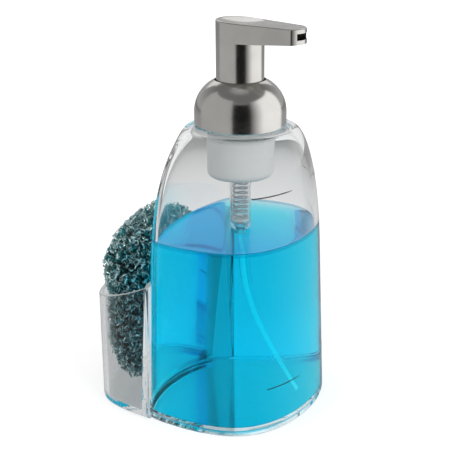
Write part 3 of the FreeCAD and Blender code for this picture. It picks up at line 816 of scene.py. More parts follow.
@dataclass(frozen=True)
class Plan:
    """The bowed outlines of the bottle and of the pocket, seen from above."""

    front_reach: float = 42.5
    side_reach: float = 53.3
    back_reach: float = 39.3
    front_bow: float = 80.0
    side_bow: float = 179.0
    back_bow: float = 180.0
    side_forward: float = 3.8
    front_corner_power: float = 7
    back_corner_power: float = 18
    pocket_back_reach: float = 75.0
    pocket_back_bow: float = 98.0
    pocket_side_reach: float = 52.0
    pocket_side_bow: float = 208.0
    pocket_side_back: float = 9.0
    pocket_corner_power: float = 12.5
    taper_share: float = 0.12
    shoulder_height: float = 150.0
    bend_height: float = 83.8
    shoulder_power: float = 2.37

    @staticmethod
    def bow(ways: np.ndarray, centre_x: float, centre_y: float, radius: float) -> np.ndarray:
        """How far a circle lies from the axis along each direction."""
        along = ways[:, 0] * centre_x + ways[:, 1] * centre_y
        return along + np.sqrt(along ** 2 - centre_x ** 2 - centre_y ** 2 + radius ** 2)

    @staticmethod
    def softened(distances: list[np.ndarray], power: float) -> np.ndarray:
        """The nearest of several distances, rounded where they cross."""
        return sum(d ** -power for d in distances) ** (-1 / power)

    def sides(self, ways: np.ndarray, reach: float, radius: float, centre_y: float,
              inset: float) -> list[np.ndarray]:
        """The distances to both bowed sides."""
        offset = reach - radius
        return [self.bow(ways, sign * offset, centre_y, radius - inset) for sign in (1, -1)]

    def bottle(self, ways: np.ndarray, inset: float = 0.0) -> np.ndarray:
        """The bottle's reach from the axis at its foot.

        Args:
            ways: unit vectors about the axis.
            inset: how far inside the outer face it is taken.

        Returns:
            The reach along each direction.
        """
        front = self.bow(ways, 0, self.front_bow - self.front_reach, self.front_bow - inset)
        back = self.bow(ways, 0, self.back_reach - self.back_bow, self.back_bow - inset)
        sides = self.sides(ways, self.side_reach, self.side_bow, -self.side_forward, inset)
        forward = self.softened([front] + sides, self.front_corner_power)
        return self.softened([forward, back], self.back_corner_power)

    def pocket(self, ways: np.ndarray, inset: float = 0.0) -> np.ndarray:
        """The pocket's reach from the axis.

        Args:
            ways: unit vectors about the axis.
            inset: how far inside the outer face it is taken.

        Returns:
            The reach along each direction.
        """
        back = self.bow(ways, 0, self.pocket_back_reach - self.pocket_back_bow, self.pocket_back_bow - inset)
        sides = self.sides(ways, self.pocket_side_reach, self.pocket_side_bow, self.pocket_side_back, inset)
        return self.softened([back] + sides, self.pocket_corner_power)

    def taper(self, height: float | np.ndarray) -> float | np.ndarray:
        """How much narrower the bottle is at a height than at its foot."""
        return 1 - self.taper_share * height / self.shoulder_height

    def level(self, ways: np.ndarray, height: float, inset: float, top: float, ring: float) -> np.ndarray:
        """A level ring of the bottle's wall, drawn in towards a circle at the shoulder.

        Args:
            ways: unit vectors about the axis.
            height: the ring's height.
            inset: how far inside the outer face it lies.
            top: the height where the shoulder becomes level.
            ring: the circle's radius there.

        Returns:
            The ring's points.
        """
        bend = min(1.0, max(0.0, (height - self.bend_height) / (top - self.bend_height)))
        melt = 1 - math.sqrt(1 - bend ** self.shoulder_power)
        reach = self.bottle(ways, inset) * self.taper(height) * (1 - melt) + ring * melt
        return level_ring(ways, reach, height)

    def shoulder_heights(self, top: float, steps: int) -> list[float]:
        """Heights that space the shoulder's rings evenly along its curve."""
        span, power = top - self.bend_height, 2 / self.shoulder_power
        return [self.bend_height + span * math.sin(t) ** power for t in np.linspace(0, math.pi / 2, steps)]


PLAN = Plan()


# Sub-assemblies


@dataclass
class Reservoir:
    """The clear bottle with its floor, neck thread and fill marks.

    Edges are rows of small steps: away from the face that they lead to, and up or down from a height.
    """

    wall: float = 2.8
    shoulder_wall: float = 3.0
    foot: float = 3.2
    ring: float = 27.1
    neck_radius: float = 19.4
    bore: float = 18.0
    neck_top: float = 159.5
    neck_root: tuple[Pair, ...] = ((4.6, 0.0), (2.2, 0.0), (1.2, 0.05), (0.6, 0.2), (0.2, 0.5), (0.0, 1.0))
    lip_outside: tuple[Pair, ...] = ((0.0, 0.4), (0.12, 0.1), (0.4, 0.0))
    lip_inside: tuple[Pair, ...] = ((0.4, 0.0), (0.1, 0.1), (0.0, 0.4))
    throat: tuple[Pair, ...] = ((0.0, 0.8), (0.2, 0.25), (0.8, 0.0))
    plate_foot: tuple[Pair, ...] = ((0.9, 0.0), (0.5, 0.06), (0.18, 0.24), (0.04, 0.5), (0.0, 0.9))
    plate_top: tuple[Pair, ...] = ((0.0, -0.3), (0.08, -0.1), (0.25, 0.02))
    plate_lip: tuple[Pair, ...] = ((-0.1, 4.1), (0.2, 4.4))
    thread_foot: float = 152.4
    thread_turns: float = 1.25
    thread_rise: float = 5.0
    thread_bead: float = 0.66
    count: int = 288
    wall_steps: int = 9
    shoulder_steps: int = 30
    mark_heights: tuple[float, ...] = (24.0, 124.0)
    mark_span: Pair = (14.0, 36.0)
    mark_halves: Pair = (0.12, 0.28)
    mark_fade: float = 5.0
    mark_lifts: Pair = (0.01, 0.05)
    front_guess: Pair = (-41.0, 0.0045)
    guess_rounds: int = 6

    def build(self) -> None:
        """Makes and dresses the bottle's pieces."""
        clear = "clear_plastic"
        place(self.body(), CLEAR, Body.CADDY, clear, "bottle_shell")
        place(self.floor(), FOOT, Body.CADDY, clear, "base_plate")
        place(self.thread(), CLEAR, Body.CADDY, clear)
        for i, height in enumerate(self.mark_heights):
            for side, label in ((-1, "left"), (1, "right")):
                mark = self.mark(f"fill_mark_{i}_{label}", height, side)
                place(mark, INK, Body.CADDY, "dark_plastic")

    def body(self) -> bpy.types.Object:
        """The wall as one closed surface: up the outside, over the neck and down the inside.

        Returns:
            The wall.
        """
        ways = compass(self.count)
        top = PLAN.shoulder_height
        inner_top = top - self.shoulder_wall
        inner_ring = self.ring - self.shoulder_wall
        low = list(np.linspace(self.foot, PLAN.bend_height, self.wall_steps))[:-1]
        outside = low + PLAN.shoulder_heights(top, self.shoulder_steps)
        rings = [PLAN.level(ways, z, 0, top, self.ring) for z in outside]
        neck = [(self.neck_radius + out, top + up) for out, up in self.neck_root]
        neck += [(self.neck_radius - back, self.neck_top - down) for back, down in self.lip_outside]
        neck += [(self.bore + back, self.neck_top - down) for back, down in self.lip_inside]
        neck += [(self.bore + out, inner_top + up) for out, up in self.throat]
        rings += [level_ring(ways, radius, z) for radius, z in neck]
        inside = PLAN.shoulder_heights(inner_top, self.shoulder_steps)[::-1] + low[::-1]
        rings += [PLAN.level(ways, z, self.wall, inner_top, inner_ring) for z in inside]
        return solid("bottle_body", *stack(rings, Ends.LOOP), sharp=50)

    def floor(self) -> bpy.types.Object:
        """The base plate with its chamfered foot and the lip that centres the wall.

        Returns:
            The plate.
        """
        ways = compass(self.count)
        steps = list(self.plate_foot)
        steps += [(inset, self.foot + up) for inset, up in self.plate_top]
        (lip_gap, lip_height), (chamfer, lip_top) = self.plate_lip
        lip = self.wall + lip_gap
        steps += [(lip, steps[-1][1]), (lip, lip_height), (self.wall + chamfer, lip_top)]
        rings = [level_ring(ways, PLAN.bottle(ways, inset) * PLAN.taper(z), z) for inset, z in steps]
        return solid("bottle_floor", *stack(rings, Ends.CAPS))

    def thread(self) -> bpy.types.Object:
        """The bead that the closure screws on to.

        Returns:
            The bead.
        """
        sizes = {"Turns": self.thread_turns, "Radius": self.neck_radius * MM, "Height": self.thread_rise * MM,
                 "Wire": self.thread_bead * MM, "Foot": (0.0, 0.0, self.thread_foot * MM)}
        return coil_recipe().cook(bare("neck_thread"), sizes, CLEAR)

    def wall_way(self, x: float, height: float) -> np.ndarray:
        """The direction in which the front wall lies at a place across.

        Args:
            x: the place across, in millimetres.
            height: the height.

        Returns:
            The direction, as an array of one row.
        """
        middle, bow = self.front_guess
        angle = math.atan2(middle + bow * x * x, x)
        for _ in range(self.guess_rounds):
            point = PLAN.level(way_at(angle), height, 0, PLAN.shoulder_height, self.ring)[0]
            angle = math.atan2(point[1], x)
        return way_at(angle)

    def mark(self, name: str, height: float, side: int) -> bpy.types.Object:
        """A printed line on the front wall, thinner towards its inner end.

        Args:
            name: the piece's name.
            height: the line's height.
            side: 1 for right, -1 for left.

        Returns:
            The line, a thin closed strip on the wall.
        """
        near, far = self.mark_span
        thin, thick = self.mark_halves
        under, over = self.mark_lifts
        rings = []
        for x in np.linspace(near, far, 40):
            way = self.wall_way(side * x, height)
            half = thin + (thick - thin) * min(1.0, (x - near) / self.mark_fade)
            edge = []
            for up, lift in ((-half, under), (-half, over), (half, over), (half, under)):
                point = PLAN.level(way, height + up, 0, PLAN.shoulder_height, self.ring)[0]
                edge.append(point + np.array([*way[0], 0]) * lift)
            rings.append(edge)
        return solid(name, *stack(rings, Ends.CAPS))


@dataclass
class Soap:
    """The blue liquid, which wets the wall and climbs it a little.

    It reaches 0.25 mm into the wall's surface, so that no film of air shows between them.
    """

    wall: float = 2.55
    shoulder_wall: float = 2.75
    ring: float = 24.35
    foot: float = 4.35
    level: float = 95.9
    climb: float = 1.3
    climb_reach: float = 1.1
    edge_runs: tuple[float, ...] = (0.3, 0.6, 1.0, 1.5, 2.2, 3.2, 4.6, 7.0, 12.0)
    top_shares: tuple[float, ...] = (0.5, 0.3, 0.16)
    count: int = 288
    wall_steps: int = 9
    bend_steps: int = 6

    def build(self) -> None:
        """Makes and dresses the liquid."""
        place(self.body(), SOAP, Body.CADDY, "liquid_soap", "soap_fill")

    def body(self) -> bpy.types.Object:
        """The liquid up the wall, over its curved edge and across its level top.

        Returns:
            The liquid.
        """
        ways = compass(self.count)
        top = PLAN.shoulder_height - self.shoulder_wall
        heights = list(np.linspace(self.foot, PLAN.bend_height, self.wall_steps))
        heights += list(np.linspace(PLAN.bend_height, self.level + self.climb, self.bend_steps))[1:]
        rings = [PLAN.level(ways, z, self.wall, top, self.ring) for z in heights]
        edge = rings[-1][:, :2]
        reach = np.linalg.norm(edge, axis=1)
        for run in self.edge_runs:
            height = self.level + self.climb * math.exp(-run / self.climb_reach)
            rings.append(level_ring(edge, (reach - run) / reach, height))
        rings += [level_ring(edge, share, self.level) for share in self.top_shares]
        return solid("soap_liquid", *stack(rings, Ends.CAPS), sharp=60)


@dataclass
class Pocket:
    """The clear cup behind the bottle that holds the scrubber."""

    wall: float = 2.6
    floor: float = 3.0
    foot_edge: float = 0.6
    joint_y: float = 28.5
    inner_corner_y: float = 35.0
    bond: float = 0.2
    rim: tuple[Pair, ...] = ((28.5, 74.5), (51.75, 64.5), (75.0, 58.4))
    levels: int = 14
    edge_width: float = 0.45
    edge_segments: int = 3
    edge_angle: float = 42.0
    outer_counts: tuple[int, int] = (150, 90)
    inner_counts: tuple[int, int] = (130, 80)
    corner_search: Pair = (0.05, 1.5)
    search_rounds: int = 50
    rim_rounds: int = 4

    def build(self) -> None:
        """Makes and dresses the cup."""
        place(self.cup(), CUP, Body.CADDY, "clear_plastic", "scrubber_pocket")

    def rim_height(self, y: float | np.ndarray) -> np.ndarray:
        """The rim's height, on the arc through its three points that falls towards the back.

        Args:
            y: how far back.

        Returns:
            The height there.
        """
        rows = np.array([[2 * across, 2 * up, 1] for across, up in self.rim])
        centre_y, centre_z, rest = np.linalg.solve(rows, [across ** 2 + up ** 2 for across, up in self.rim])
        radius = math.sqrt(rest + centre_y ** 2 + centre_z ** 2)
        return centre_z - np.sqrt(radius ** 2 - (y - centre_y) ** 2)

    def height_at(self, y: float, start: float, share: float) -> float:
        """The height at a share of the way up to the rim."""
        return start + share * (float(self.rim_height(y)) - start)

    def back(self, inset: float) -> Reach:
        """The reach of the cup's back, drawn in by an inset."""
        return lambda ways, height: PLAN.pocket(ways, inset)

    def front(self, inset: float) -> Reach:
        """The reach of the cup's face along the bottle, drawn in by an inset."""
        return lambda ways, height: PLAN.bottle(ways, inset - self.bond) * PLAN.taper(height)

    def crossing(self, gap: Callable[[float], float]) -> float:
        """The angle where a gap falls through zero.

        Args:
            gap: the gap at an angle.

        Returns:
            The angle.
        """
        low, high = self.corner_search
        for _ in range(self.search_rounds):
            middle = (low + high) / 2
            low, high = (middle, high) if gap(middle) > 0 else (low, middle)
        return (low + high) / 2

    def raised(self, ways: np.ndarray, reach_at: Reach, start: float, share: float) -> np.ndarray:
        """Points of a wall at a share of the way up to the rim.

        Args:
            ways: unit vectors about the axis.
            reach_at: gives the wall's reach at those directions and heights.
            start: the wall's lowest height.
            share: the share of the way up.

        Returns:
            The points.
        """
        height = np.full(len(ways), start)
        for _ in range(self.rim_rounds):
            flat = ways * reach_at(ways, height)[:, None]
            height = start + share * (self.rim_height(flat[:, 1]) - start)
        return np.column_stack([flat, height])

    def loop(self, walls: tuple[Reach, Reach], turns: Pair, counts: tuple[int, int], start: float,
             share: float) -> np.ndarray:
        """A closed loop round the cup at one level: along the back and home along the bottle.

        Args:
            walls: the reach of the back and of the front.
            turns: the angles at which each of them begins.
            counts: how many points each of them has.
            start: the loop's lowest height.
            share: the share of the way up to the rim.

        Returns:
            The loop's points.
        """
        (back, front), (far, near) = walls, turns
        away = compass(counts[0], far, math.pi - far, True)
        home = compass(counts[1], math.pi - near, near, True)
        if far == near:
            home = home[1:-1]
        return np.vstack([self.raised(away, back, start, share), self.raised(home, front, start, share)])

    def outer_loop(self, start: float, share: float, inset: float = 0.0) -> np.ndarray:
        """The cup's outside at one level, with its two joint faces.

        Args:
            start: the outside's lowest height.
            share: the share of the way up to the rim.
            inset: how far it is drawn in.

        Returns:
            The loop's points.
        """
        walls = self.back(inset), self.front(inset)
        height = np.array([self.height_at(self.joint_y, start, share)])

        def corner(reach_at: Reach) -> float:
            """The angle at which a wall meets the joint face.

            Args:
                reach_at: gives the wall's reach.

            Returns:
                The angle.
            """
            def gap(angle: float) -> float:
                """How far the joint face lies behind the wall."""
                way = way_at(angle)
                return self.joint_y + inset - reach_at(way, height)[0] * way[0][1]
            return self.crossing(gap)

        return self.loop(walls, (corner(walls[0]), corner(walls[1])), self.outer_counts, start, share)

    def inner_loop(self, start: float, share: float) -> np.ndarray:
        """The cup's inside at one level.

        Args:
            start: the inside's lowest height.
            share: the share of the way up to the rim.

        Returns:
            The loop's points.
        """
        back, front = self.back(self.wall), self.front(-self.wall)
        height = np.array([self.height_at(self.inner_corner_y, start, share)])

        def gap(angle: float) -> float:
            """How far the front lies outside the back."""
            way = way_at(angle)
            return front(way, height)[0] - back(way, height)[0]

        sign = -1 if gap(self.corner_search[0]) < 0 else 1
        turn = self.crossing(lambda angle: sign * gap(angle))
        return self.loop((back, front), (turn, turn), self.inner_counts, start, share)

    def cup(self) -> bpy.types.Object:
        """The cup as one closed surface with rounded edges.

        Returns:
            The cup.
        """
        shares = np.linspace(0, 1, self.levels)
        outside = [self.outer_loop(0.0, 0.0, self.foot_edge)]
        outside += [self.outer_loop(self.foot_edge, share) for share in shares]
        inside = [self.inner_loop(self.floor, share) for share in shares]
        outer_points, outer_faces = stack(outside, Ends.CAPS)
        inner_points, inner_faces = stack(inside, Ends.CAPS)
        shift = len(outer_points)
        faces = outer_faces[:-1] + [tuple(i + shift for i in face) for face in inner_faces[:-1]]
        made = solid("pocket_cup", np.vstack([outer_points, inner_points]), faces)
        work = bmesh.new()
        work.from_mesh(made.data)
        bmesh.ops.bridge_loops(work, edges=[edge for edge in work.edges if edge.is_boundary])
        bmesh.ops.recalc_face_normals(work, faces=work.faces)
        work.to_mesh(made.data)
        work.free()
        made.data.shade_smooth()
        bevel = made.modifiers.new("edges", "BEVEL")
        bevel.width = self.edge_width * MM
        bevel.segments = self.edge_segments
        bevel.limit_method = "ANGLE"
        bevel.angle_limit = math.radians(self.edge_angle)
        settle(made)
        made.data.set_sharp_from_angle(angle=math.radians(50))
        return made


@dataclass(frozen=True)
class Layer:
    """One layer of the scrubber's loops."""

    name: str
    inset: float
    seed: int
    depth: float


@dataclass
class Scrubber:
    """The pad of loose steel loops in the pocket."""

    half_width: float = 41.5
    half_depth: float = 12.8
    least_half: float = 1.0
    centre_y: float = 54.6
    foot: float = 3.4
    height: float = 96.0
    height_shares: tuple[float, ...] = (0.0, 0.03, 0.12, 0.30, 0.58, 0.72, 0.80, 0.90, 0.97, 1.0)
    width_shares: tuple[float, ...] = (0.42, 0.58, 0.82, 0.98, 0.99, 1.06, 1.06, 0.88, 0.58, 0.34)
    depth_shares: tuple[float, ...] = (0.45, 0.62, 0.86, 0.97, 0.98, 1.10, 1.14, 0.95, 0.62, 0.36)
    ring_runs: tuple[tuple[float, float, int], ...] = ((0, 0.12, 8), (0.16, 0.86, 26), (0.885, 1, 10))
    shade_core_inset: float = 4.6
    layers: tuple[Layer, ...] = (Layer("scrubber_loops_outer", 1.5, 21, 0.5),
                                 Layer("scrubber_loops_middle", 2.2, 8, 0.9),
                                 Layer("scrubber_loops_inner", 3.2, 5, 1.2))
    loops_per_square_metre: float = 125000.0
    loop_radius: float = 1.35
    thread_width: float = 0.8
    thread_thickness: float = 0.14

    def build(self) -> None:
        """Makes and dresses the pad's dark core, painted shade for its depths, and its three layers of loops.
        """
        steel = "scrubber_steel"
        # The dark core is painted shade in the depths of the pad.
        place(self.pad("scrubber_shade_core", self.shade_core_inset), SHADE, Body.SCRUBBER, steel, "scrubber")
        recipe = loop_recipe()
        sizes = {"Density": self.loops_per_square_metre, "Loop Radius": self.loop_radius * MM,
                 "Thread Width": self.thread_width * MM, "Thread Thickness": self.thread_thickness * MM}
        for layer in self.layers:
            own = {**sizes, "Seed": layer.seed, "Depth": layer.depth * MM}
            place(recipe.cook(self.pad(layer.name, layer.inset), own, RIBBON), RIBBON, Body.SCRUBBER, steel)

    def pad(self, name: str, inset: float) -> bpy.types.Object:
        """The pad's form, drawn in by an inset.

        Args:
            name: the piece's name.
            inset: how far inside the CAD form it lies.

        Returns:
            A closed puffed form.
        """
        ways = compass(72)
        shares = np.concatenate([np.linspace(*run) for run in self.ring_runs])
        widths = np.interp(shares, self.height_shares, self.width_shares)
        depths = np.interp(shares, self.height_shares, self.depth_shares)
        rings = []
        for share, width, depth in zip(shares, widths, depths):
            x = ways[:, 0] * max(self.least_half, self.half_width * width - inset)
            y = self.centre_y + ways[:, 1] * max(self.least_half, self.half_depth * depth - inset)
            z = self.foot + inset + share * (self.height - 2 * inset)
            rings.append(np.column_stack([x, y, np.full(len(ways), z)]))
        return solid(name, *stack(rings, Ends.CAPS), sharp=70)


@dataclass
class PumpEngine:
    """What hangs in the neck: cylinders, return spring, dip tube and valves.

    Pairs of radii go from the outside in, and pairs of heights from low to high.
    """

    flange_radius: float = 20.0
    flange_heights: Pair = (160.5, 162.0)
    cylinder: Pair = (17.0, 15.7)
    cylinder_floor: float = 1.6
    bottom: float = 124.4
    feed: Pair = (5.5, 4.5)
    feed_overlap: float = 0.1
    feed_bottom: float = 97.4
    seat: Pair = (2.0, 1.2)
    seat_heights: tuple[float, float, float] = (95.2, 96.4, 99.2)
    socket: Pair = (3.3, 2.2)
    socket_heights: Pair = (88.4, 93.4)
    socket_end: float = 92.9
    spring_foot: float = 101.2
    spring_top: float = 121.3
    spring_radius: float = 3.7
    spring_wire: float = 0.375
    spring_turns: float = 7.5
    stroke: float = 13.0
    tube_span: Pair = (92.6, 8.4)
    tube_bend: float = 83.9
    tube_reach: float = 27.05
    core_radius: float = 0.95

    def build(self) -> None:
        """Makes and dresses the engine's pieces."""
        milky = "milky_plastic"
        place(self.housing(), MILKY, Body.ENGINE, milky, "pump_housing")
        place(self.feed_tube(), TUBE, Body.ENGINE, milky)
        spring = place(self.spring(), SPRING, Body.ENGINE, "spring_steel", "return_spring")
        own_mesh(spring)
        place(self.tube_core(), TUBE_CORE, Body.ENGINE, milky)
        dress(WETTED, "dip_tube")
        dress(RUBBER, "neck_gasket", "air_valve")
        dress(WHITE, "piston_stop_ring", "valve_cage", "feed_piston", "air_piston")
        dress(SPRING, "inlet_ball")

    def housing(self) -> bpy.types.Object:
        """The wide air cylinder with its flange and its rounded floor.

        Returns:
            The cylinder.
        """
        low, high = self.flange_heights
        outer, inner = self.cylinder
        throat = self.feed[1]
        floor = self.bottom + self.cylinder_floor
        outline = [(self.flange_radius, low, 0.3), (self.flange_radius, high, 0.3), (inner, high, 0.3)]
        outline += [(inner, floor, 2.0), (throat, floor, 0.2), (throat, self.bottom, 0.0)]
        outline += [(outer, self.bottom, 3.5), (outer, low, 0.3)]
        return solid("air_cylinder", *turned(rounded(outline)))

    def feed_tube(self) -> bpy.types.Object:
        """The narrow cylinder below it, drawn in to the ball's seat and the dip tube's socket.

        Returns:
            The feed cylinder.
        """
        outer, inner = self.feed
        top = self.bottom + self.feed_overlap
        seat, bore = self.seat
        bore_top, seat_top, cone_top = self.seat_heights
        nose, grip = self.socket
        low, high = self.socket_heights
        outline = [(outer, top, 0.0), (inner, top, 0.0), (inner, cone_top, 0.4), (seat, seat_top, 0.3)]
        outline += [(bore, bore_top, 0.1), (bore, self.socket_end, 0.0), (grip, self.socket_end, 0.1)]
        outline += [(grip, low, 0.15), (nose, low, 0.3), (nose, high, 0.4), (outer, self.feed_bottom, 0.6)]
        return solid("feed_tube", *turned(rounded(outline), 96))

    def tube_core(self) -> bpy.types.Object:
        """The soap that stands in the dip tube's bore, made paler than the soap round it by a painted glow.

        Returns:
            The core, on the tube's own arc.
        """
        top, end = self.tube_span
        drop = self.tube_bend - end
        bend = (drop ** 2 + self.tube_reach ** 2) / (2 * self.tube_reach)
        turns = np.linspace(0, math.asin(drop / bend), 40)
        line = [(0.0, 0.0, top)]
        line += [(0.0, bend * (math.cos(t) - 1), self.tube_bend - bend * math.sin(t)) for t in turns]
        return bar_recipe().cook(bare("tube_core", line), {"Radius": self.core_radius * MM}, TUBE_CORE)

    def spring(self) -> bpy.types.Object:
        """The return spring, an open coil of round wire.

        Returns:
            The spring.
        """
        wire = self.spring_wire
        rise = self.spring_top - self.spring_foot - 2 * wire
        sizes = {"Turns": self.spring_turns, "Radius": self.spring_radius * MM, "Height": rise * MM,
                 "Wire": wire * MM, "Foot": (0.0, 0.0, (self.spring_foot + wire) * MM)}
        return coil_recipe().cook(bare("return_coil"), sizes, SPRING)


@dataclass
class PumpHead:
    """The nickel dome and head with what they carry."""

    dome_radius: float = 23.5
    dome_wall: float = 1.1
    dome_foot: float = 150.6
    side_height: float = 7.2
    bend: float = 18.0
    bend_share: float = 0.985
    hole: float = 13.0
    foot_edge: tuple[Pair, ...] = ((0.3, 0.0), (0.09, 0.09), (0.0, 0.3))
    hole_edge: tuple[Pair, ...] = ((0.12, 0.05), (0.0, 0.25))
    inner_edge: tuple[Pair, ...] = ((0.0, 0.3), (0.2, 0.0))
    steps: int = 40

    def build(self) -> None:
        """Makes and dresses the head's pieces."""
        place(self.dome(), NICKEL, Body.COLLAR, "brushed_nickel", "dome_collar")
        dress(NICKEL_HEAD, "actuator_shell")
        dress(DARK, "actuator_core", "spout_liner")
        dress(WHITE, "closure_ring", "mesh_carrier", "foam_mesh_lower", "foam_mesh_upper")

    def roll(self, bend: float, turns: np.ndarray) -> list[Pair]:
        """Points where the skirt rolls over, at some turns of a bend."""
        centre, height = self.dome_radius - self.bend, self.dome_foot + self.side_height
        return [(centre + bend * math.cos(t), height + bend * math.sin(t)) for t in turns]

    def dome(self) -> bpy.types.Object:
        """The collar's cover: an upright skirt that rolls over to the stem's hole.

        Returns:
            The cover.
        """
        hole_run = self.hole - (self.dome_radius - self.bend)
        inner_bend = self.bend - self.dome_wall
        end, inner_end = math.acos(hole_run / self.bend), math.acos(hole_run / inner_bend)
        lip = self.dome_foot + self.side_height + self.bend * math.sin(end)
        inside = self.dome_radius - self.dome_wall
        outline = [(self.dome_radius - back, self.dome_foot + up) for back, up in self.foot_edge]
        outline += self.roll(self.bend, np.linspace(0, end * self.bend_share, self.steps))
        outline += [(self.hole + out, lip - down) for out, down in self.hole_edge]
        outline += self.roll(inner_bend, np.linspace(inner_end, 0, self.steps))
        outline += [(inside + out, self.dome_foot + up) for out, up in self.inner_edge]
        return solid("collar_dome", *turned(outline, 240), sharp=60)


# The studio


@dataclass
class Studio:
    """A white floor, soft lamps, reflection cards and the camera, in metres and degrees."""

    position: Point = (-0.4781, -0.2292, 0.28015)
    heading: float = 63.5
    pitch: float = 19.1
    roll: float = -0.466
    lens: float = 85.34
    bounces: int = 40
    behind: float = 0.9
    room_tones: tuple[Pair, ...] = ((0.0, 0.5), (0.25, 0.45), (0.5, 0.32), (0.75, 0.2), (0.94, 0.22),
                                    (1.0, 0.5))
    floor_half: float = 6.0
    floor_drop: float = 0.0002
    floor_tones: Pair = (0.59, 0.60)
    floor_mirrored: float = 0.05
    # Painted light: pools of glow round the object that only rays through clear parts see, lighting the floor
    # under the bottle.
    wide_painted_light_pool: Pair = (0.9, 0.58)
    close_painted_light_pool: Pair = (0.12, 0.3)
    shadow_pool: Pair = (0.7, 0.36)
    aim: Point = (0, 0, 0.1)
    card_columns: int = 24

    def build(self) -> None:
        """Sets up everything round the object."""
        scene = bpy.context.scene
        scene.view_settings.view_transform = "Standard"
        scene.cycles.max_bounces = self.bounces
        scene.cycles.glossy_bounces = self.bounces
        scene.cycles.transmission_bounces = self.bounces
        scene.cycles.transparent_max_bounces = self.bounces
        scene.cycles.caustics_reflective = False
        scene.cycles.caustics_refractive = False
        self.camera()
        self.world()
        self.floor()
        self.lamp("lamp_top", (0.15, 0.25, 1.5), self.aim, size=1.2, power=5.5)
        self.lamp("lamp_right", (-0.3, -1.2, 0.9), self.aim, size=0.9, power=8)
        self.lamp("lamp_left", (-1.1, 0.7, 0.8), self.aim, size=0.9, power=3)
        self.glint()
        self.card("card_dark", (-20, 22), 0.42, levels=(0.008, 0.008), span=(0.001, 0.48))
        self.card("card_fade", (22, 56), 0.44, levels=(0.01, 1.2), span=(0.001, 0.58))
        self.card("card_right", (56, 118), 0.46, levels=(1.25, 1.3), span=(0.001, 0.62))
        self.card("card_left", (-112, -24), 0.46, levels=(0.55, 0.55), span=(0.001, 0.7))
        self.card("card_back", (150, 215), 0.7, levels=(1.1, 1.1), span=(0.41, 0.8))
        self.card("card_top", (130, 230), 0.16, levels=(2.0, 2.0), span=(0.9, 0.98))

    def camera(self) -> None:
        """The camera, at the photograph's angle."""
        turn, dip, roll = (math.radians(a) for a in (self.heading, self.pitch, self.roll))
        ahead = Vector((math.sin(turn) * math.cos(dip), math.cos(turn) * math.cos(dip), -math.sin(dip)))
        level = Vector((math.cos(turn), -math.sin(turn), 0))
        upright = level.cross(ahead)
        right = level * math.cos(roll) + upright * math.sin(roll)
        up = upright * math.cos(roll) - level * math.sin(roll)
        data = bpy.data.cameras.new("camera")
        data.lens = self.lens
        data.sensor_width = 36.0
        data.clip_start = 0.01
        made = linked("camera", data)
        basis = Matrix((right, up, -ahead)).transposed().to_4x4()
        made.matrix_world = Matrix.Translation(self.position) @ basis
        bpy.context.scene.camera = made

    def world(self) -> None:
        """A room that is white to the camera, bright behind clear parts and shaded in metal."""
        world = bpy.data.worlds.new("studio")
        world.use_nodes = True
        bpy.context.scene.world = world
        graph = Graph(world.node_tree)
        graph.tree.nodes.clear()
        rays = graph.node("ShaderNodeLightPath").outputs
        way = graph.node("ShaderNodeTexCoord").outputs["Generated"]
        rise = graph.node("ShaderNodeSeparateXYZ", {0: way}).outputs["Z"]
        ramp = graph.node("ShaderNodeValToRGB", {"Fac": rise})
        stops = ramp.color_ramp.elements
        while len(stops) < len(self.room_tones):
            stops.new(0.5)
        for stop, (position, level) in zip(stops, self.room_tones):
            stop.position = position
            stop.color = grey(level)
        colours = (ramp.outputs[0], grey(self.behind), grey(1.0))
        room, behind, white = (graph.node("ShaderNodeBackground", {"Color": c}).outputs[0] for c in colours)
        clear = graph.node("ShaderNodeMixShader", {0: rays["Is Transmission Ray"], 1: room, 2: behind})
        shown = graph.node("ShaderNodeMixShader", {0: rays["Is Camera Ray"], 1: clear.outputs[0], 2: white})
        graph.node("ShaderNodeOutputWorld", {0: shown.outputs[0]})

    def floor(self) -> None:
        """A wide pale floor, white to the camera far off and less so near the object, whose shadow stays;
        seen through clear parts it has painted pools of light round the object.
        """
        half, drop = self.floor_half / MM, -self.floor_drop / MM
        corners = [(-half, -half, drop), (half, -half, drop), (half, half, drop), (-half, half, drop)]
        made = solid("floor", np.array(corners), [(0, 1, 2, 3)])
        shader = Shader("floor")
        dark, light = ((tone,) * 3 for tone in self.floor_tones)
        tone = shader.between(shader.noise(3.0, 2.0), dark, light)
        paint = shader.node("ShaderNodeBsdfDiffuse", {"Color": tone})
        rays = shader.node("ShaderNodeLightPath").outputs
        # Painted pools of light, shown only to rays that come through clear parts.
        painted_light_pools = shader.calc("ADD", self.pool(shader, *self.wide_painted_light_pool), self.pool(shader, *self.close_painted_light_pool))
        through = shader.calc("MULTIPLY", rays["Is Transmission Ray"], painted_light_pools)
        mirrored = shader.calc("MULTIPLY_ADD", rays["Is Glossy Ray"], self.floor_mirrored, through)
        lift = shader.calc("SUBTRACT", 1.0, self.pool(shader, *self.shadow_pool))
        shown = shader.calc("MULTIPLY_ADD", rays["Is Camera Ray"], lift, mirrored)
        glow = shader.node("ShaderNodeEmission", {"Strength": shown})
        lit = shader.node("ShaderNodeAddShader", {0: paint.outputs[0], 1: glow.outputs[0]})
        made.data.materials.append(shader.finish(lit.outputs[0]))

    @staticmethod
    def pool(shader: Shader, reach: float, level: float) -> Socket:
        """A pool on the floor that fades with distance from the object.

        Args:
            shader: the floor's shader.
            reach: how far the pool goes, in metres.
            level: how strong its middle is.

        Returns:
            The pool's socket.
        """
        mapped = {"Vector": shader.where(), "Scale": (1 / reach,) * 3}
        near = shader.node("ShaderNodeMapping", mapped).outputs[0]
        fade = shader.node("ShaderNodeTexGradient", {"Vector": near}, gradient_type="SPHERICAL").outputs[1]
        return shader.calc("MULTIPLY", fade, level)

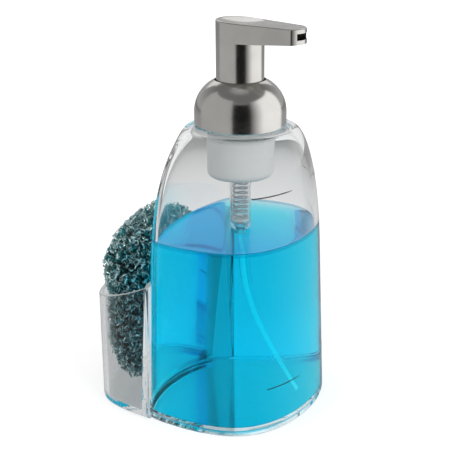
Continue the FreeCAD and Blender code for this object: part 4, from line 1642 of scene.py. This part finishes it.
    @staticmethod
    def lamp(name: str, position: Point, target: Point, size: float, power: float) -> bpy.types.Object:
        """A square soft lamp that faces a point and that no metal or clear surface shows.

        Args:
            name: the lamp's name.
            position: where it hangs, in metres.
            target: the point it faces.
            size: its side, in metres.
            power: its power, in watts.

        Returns:
            The lamp.
        """
        data = bpy.data.lights.new(name, "AREA")
        data.size = size
        data.energy = power
        made = linked(name, data)
        made.location = position
        made.rotation_euler = (Vector(target) - Vector(position)).to_track_quat("-Z", "Y").to_euler()
        made.visible_glossy = False
        made.visible_transmission = False
        return made

    def glint(self) -> None:
        """A small lamp that makes only the scrubber's steel sparkle."""
        lamp = self.lamp("lamp_glint", (-0.6, 0.15, 0.75), (0, 0.05, 0.06), size=0.25, power=11.5)
        lamp.visible_glossy = True
        lit = bpy.data.collections.new("scrubber_light")
        for piece in bpy.context.scene.objects:
            if piece.name.startswith("scrubber_loops"):
                lit.objects.link(piece)
        lamp.light_linking.receiver_collection = lit

    def card(self, name: str, arc: Pair, distance: float, levels: Pair, span: Pair) -> None:
        """A curved upright card that only reflections show.

        Args:
            name: the card's name.
            arc: where it starts and ends, in degrees to the right of the camera's side.
            distance: how far from the pump it stands, in metres.
            levels: how bright it is at its start and at its end.
            span: its lower and upper edges, in metres.
        """
        toward = math.radians(self.heading)
        base = math.atan2(-math.cos(toward), -math.sin(toward))
        count = self.card_columns
        angles = base + np.radians(np.linspace(*arc, count))
        ways = np.column_stack([np.cos(angles), np.sin(angles)])
        points = np.vstack([level_ring(ways, distance / MM, z / MM) for z in span])
        faces = [(i, i + 1, i + 1 + count, i + count) for i in range(count - 1)]
        made = solid(name, points, faces)
        shader = Shader(name)
        bright = shader.node("ShaderNodeAttribute", attribute_name="level").outputs["Fac"]
        glow = shader.node("ShaderNodeEmission", {"Strength": bright})
        made.data.materials.append(shader.finish(glow.outputs[0]))
        kept = made.data.attributes.new("level", "FLOAT", "POINT")
        slack = 0.01
        bearings = np.array([math.atan2(v.co.y, v.co.x) - angles[0] for v in made.data.vertices])
        along = np.mod(bearings + slack, 2 * math.pi) - slack
        kept.data.foreach_set("value", np.interp(along, [0, angles[-1] - angles[0]], levels))
        made.visible_camera = False
        made.visible_diffuse = False
        made.visible_transmission = False
        made.visible_shadow = False


def main() -> None:
    """Builds and dresses the caddy and sets up its studio."""
    logging.basicConfig(level=logging.INFO, format="%(name)s: %(message)s")
    for part in (Reservoir(), Soap(), Pocket(), Scrubber(), PumpEngine(), PumpHead(), Studio()):
        log.info("building %s", type(part).__name__)
        part.build()


if __name__ == "__main__":
    main()
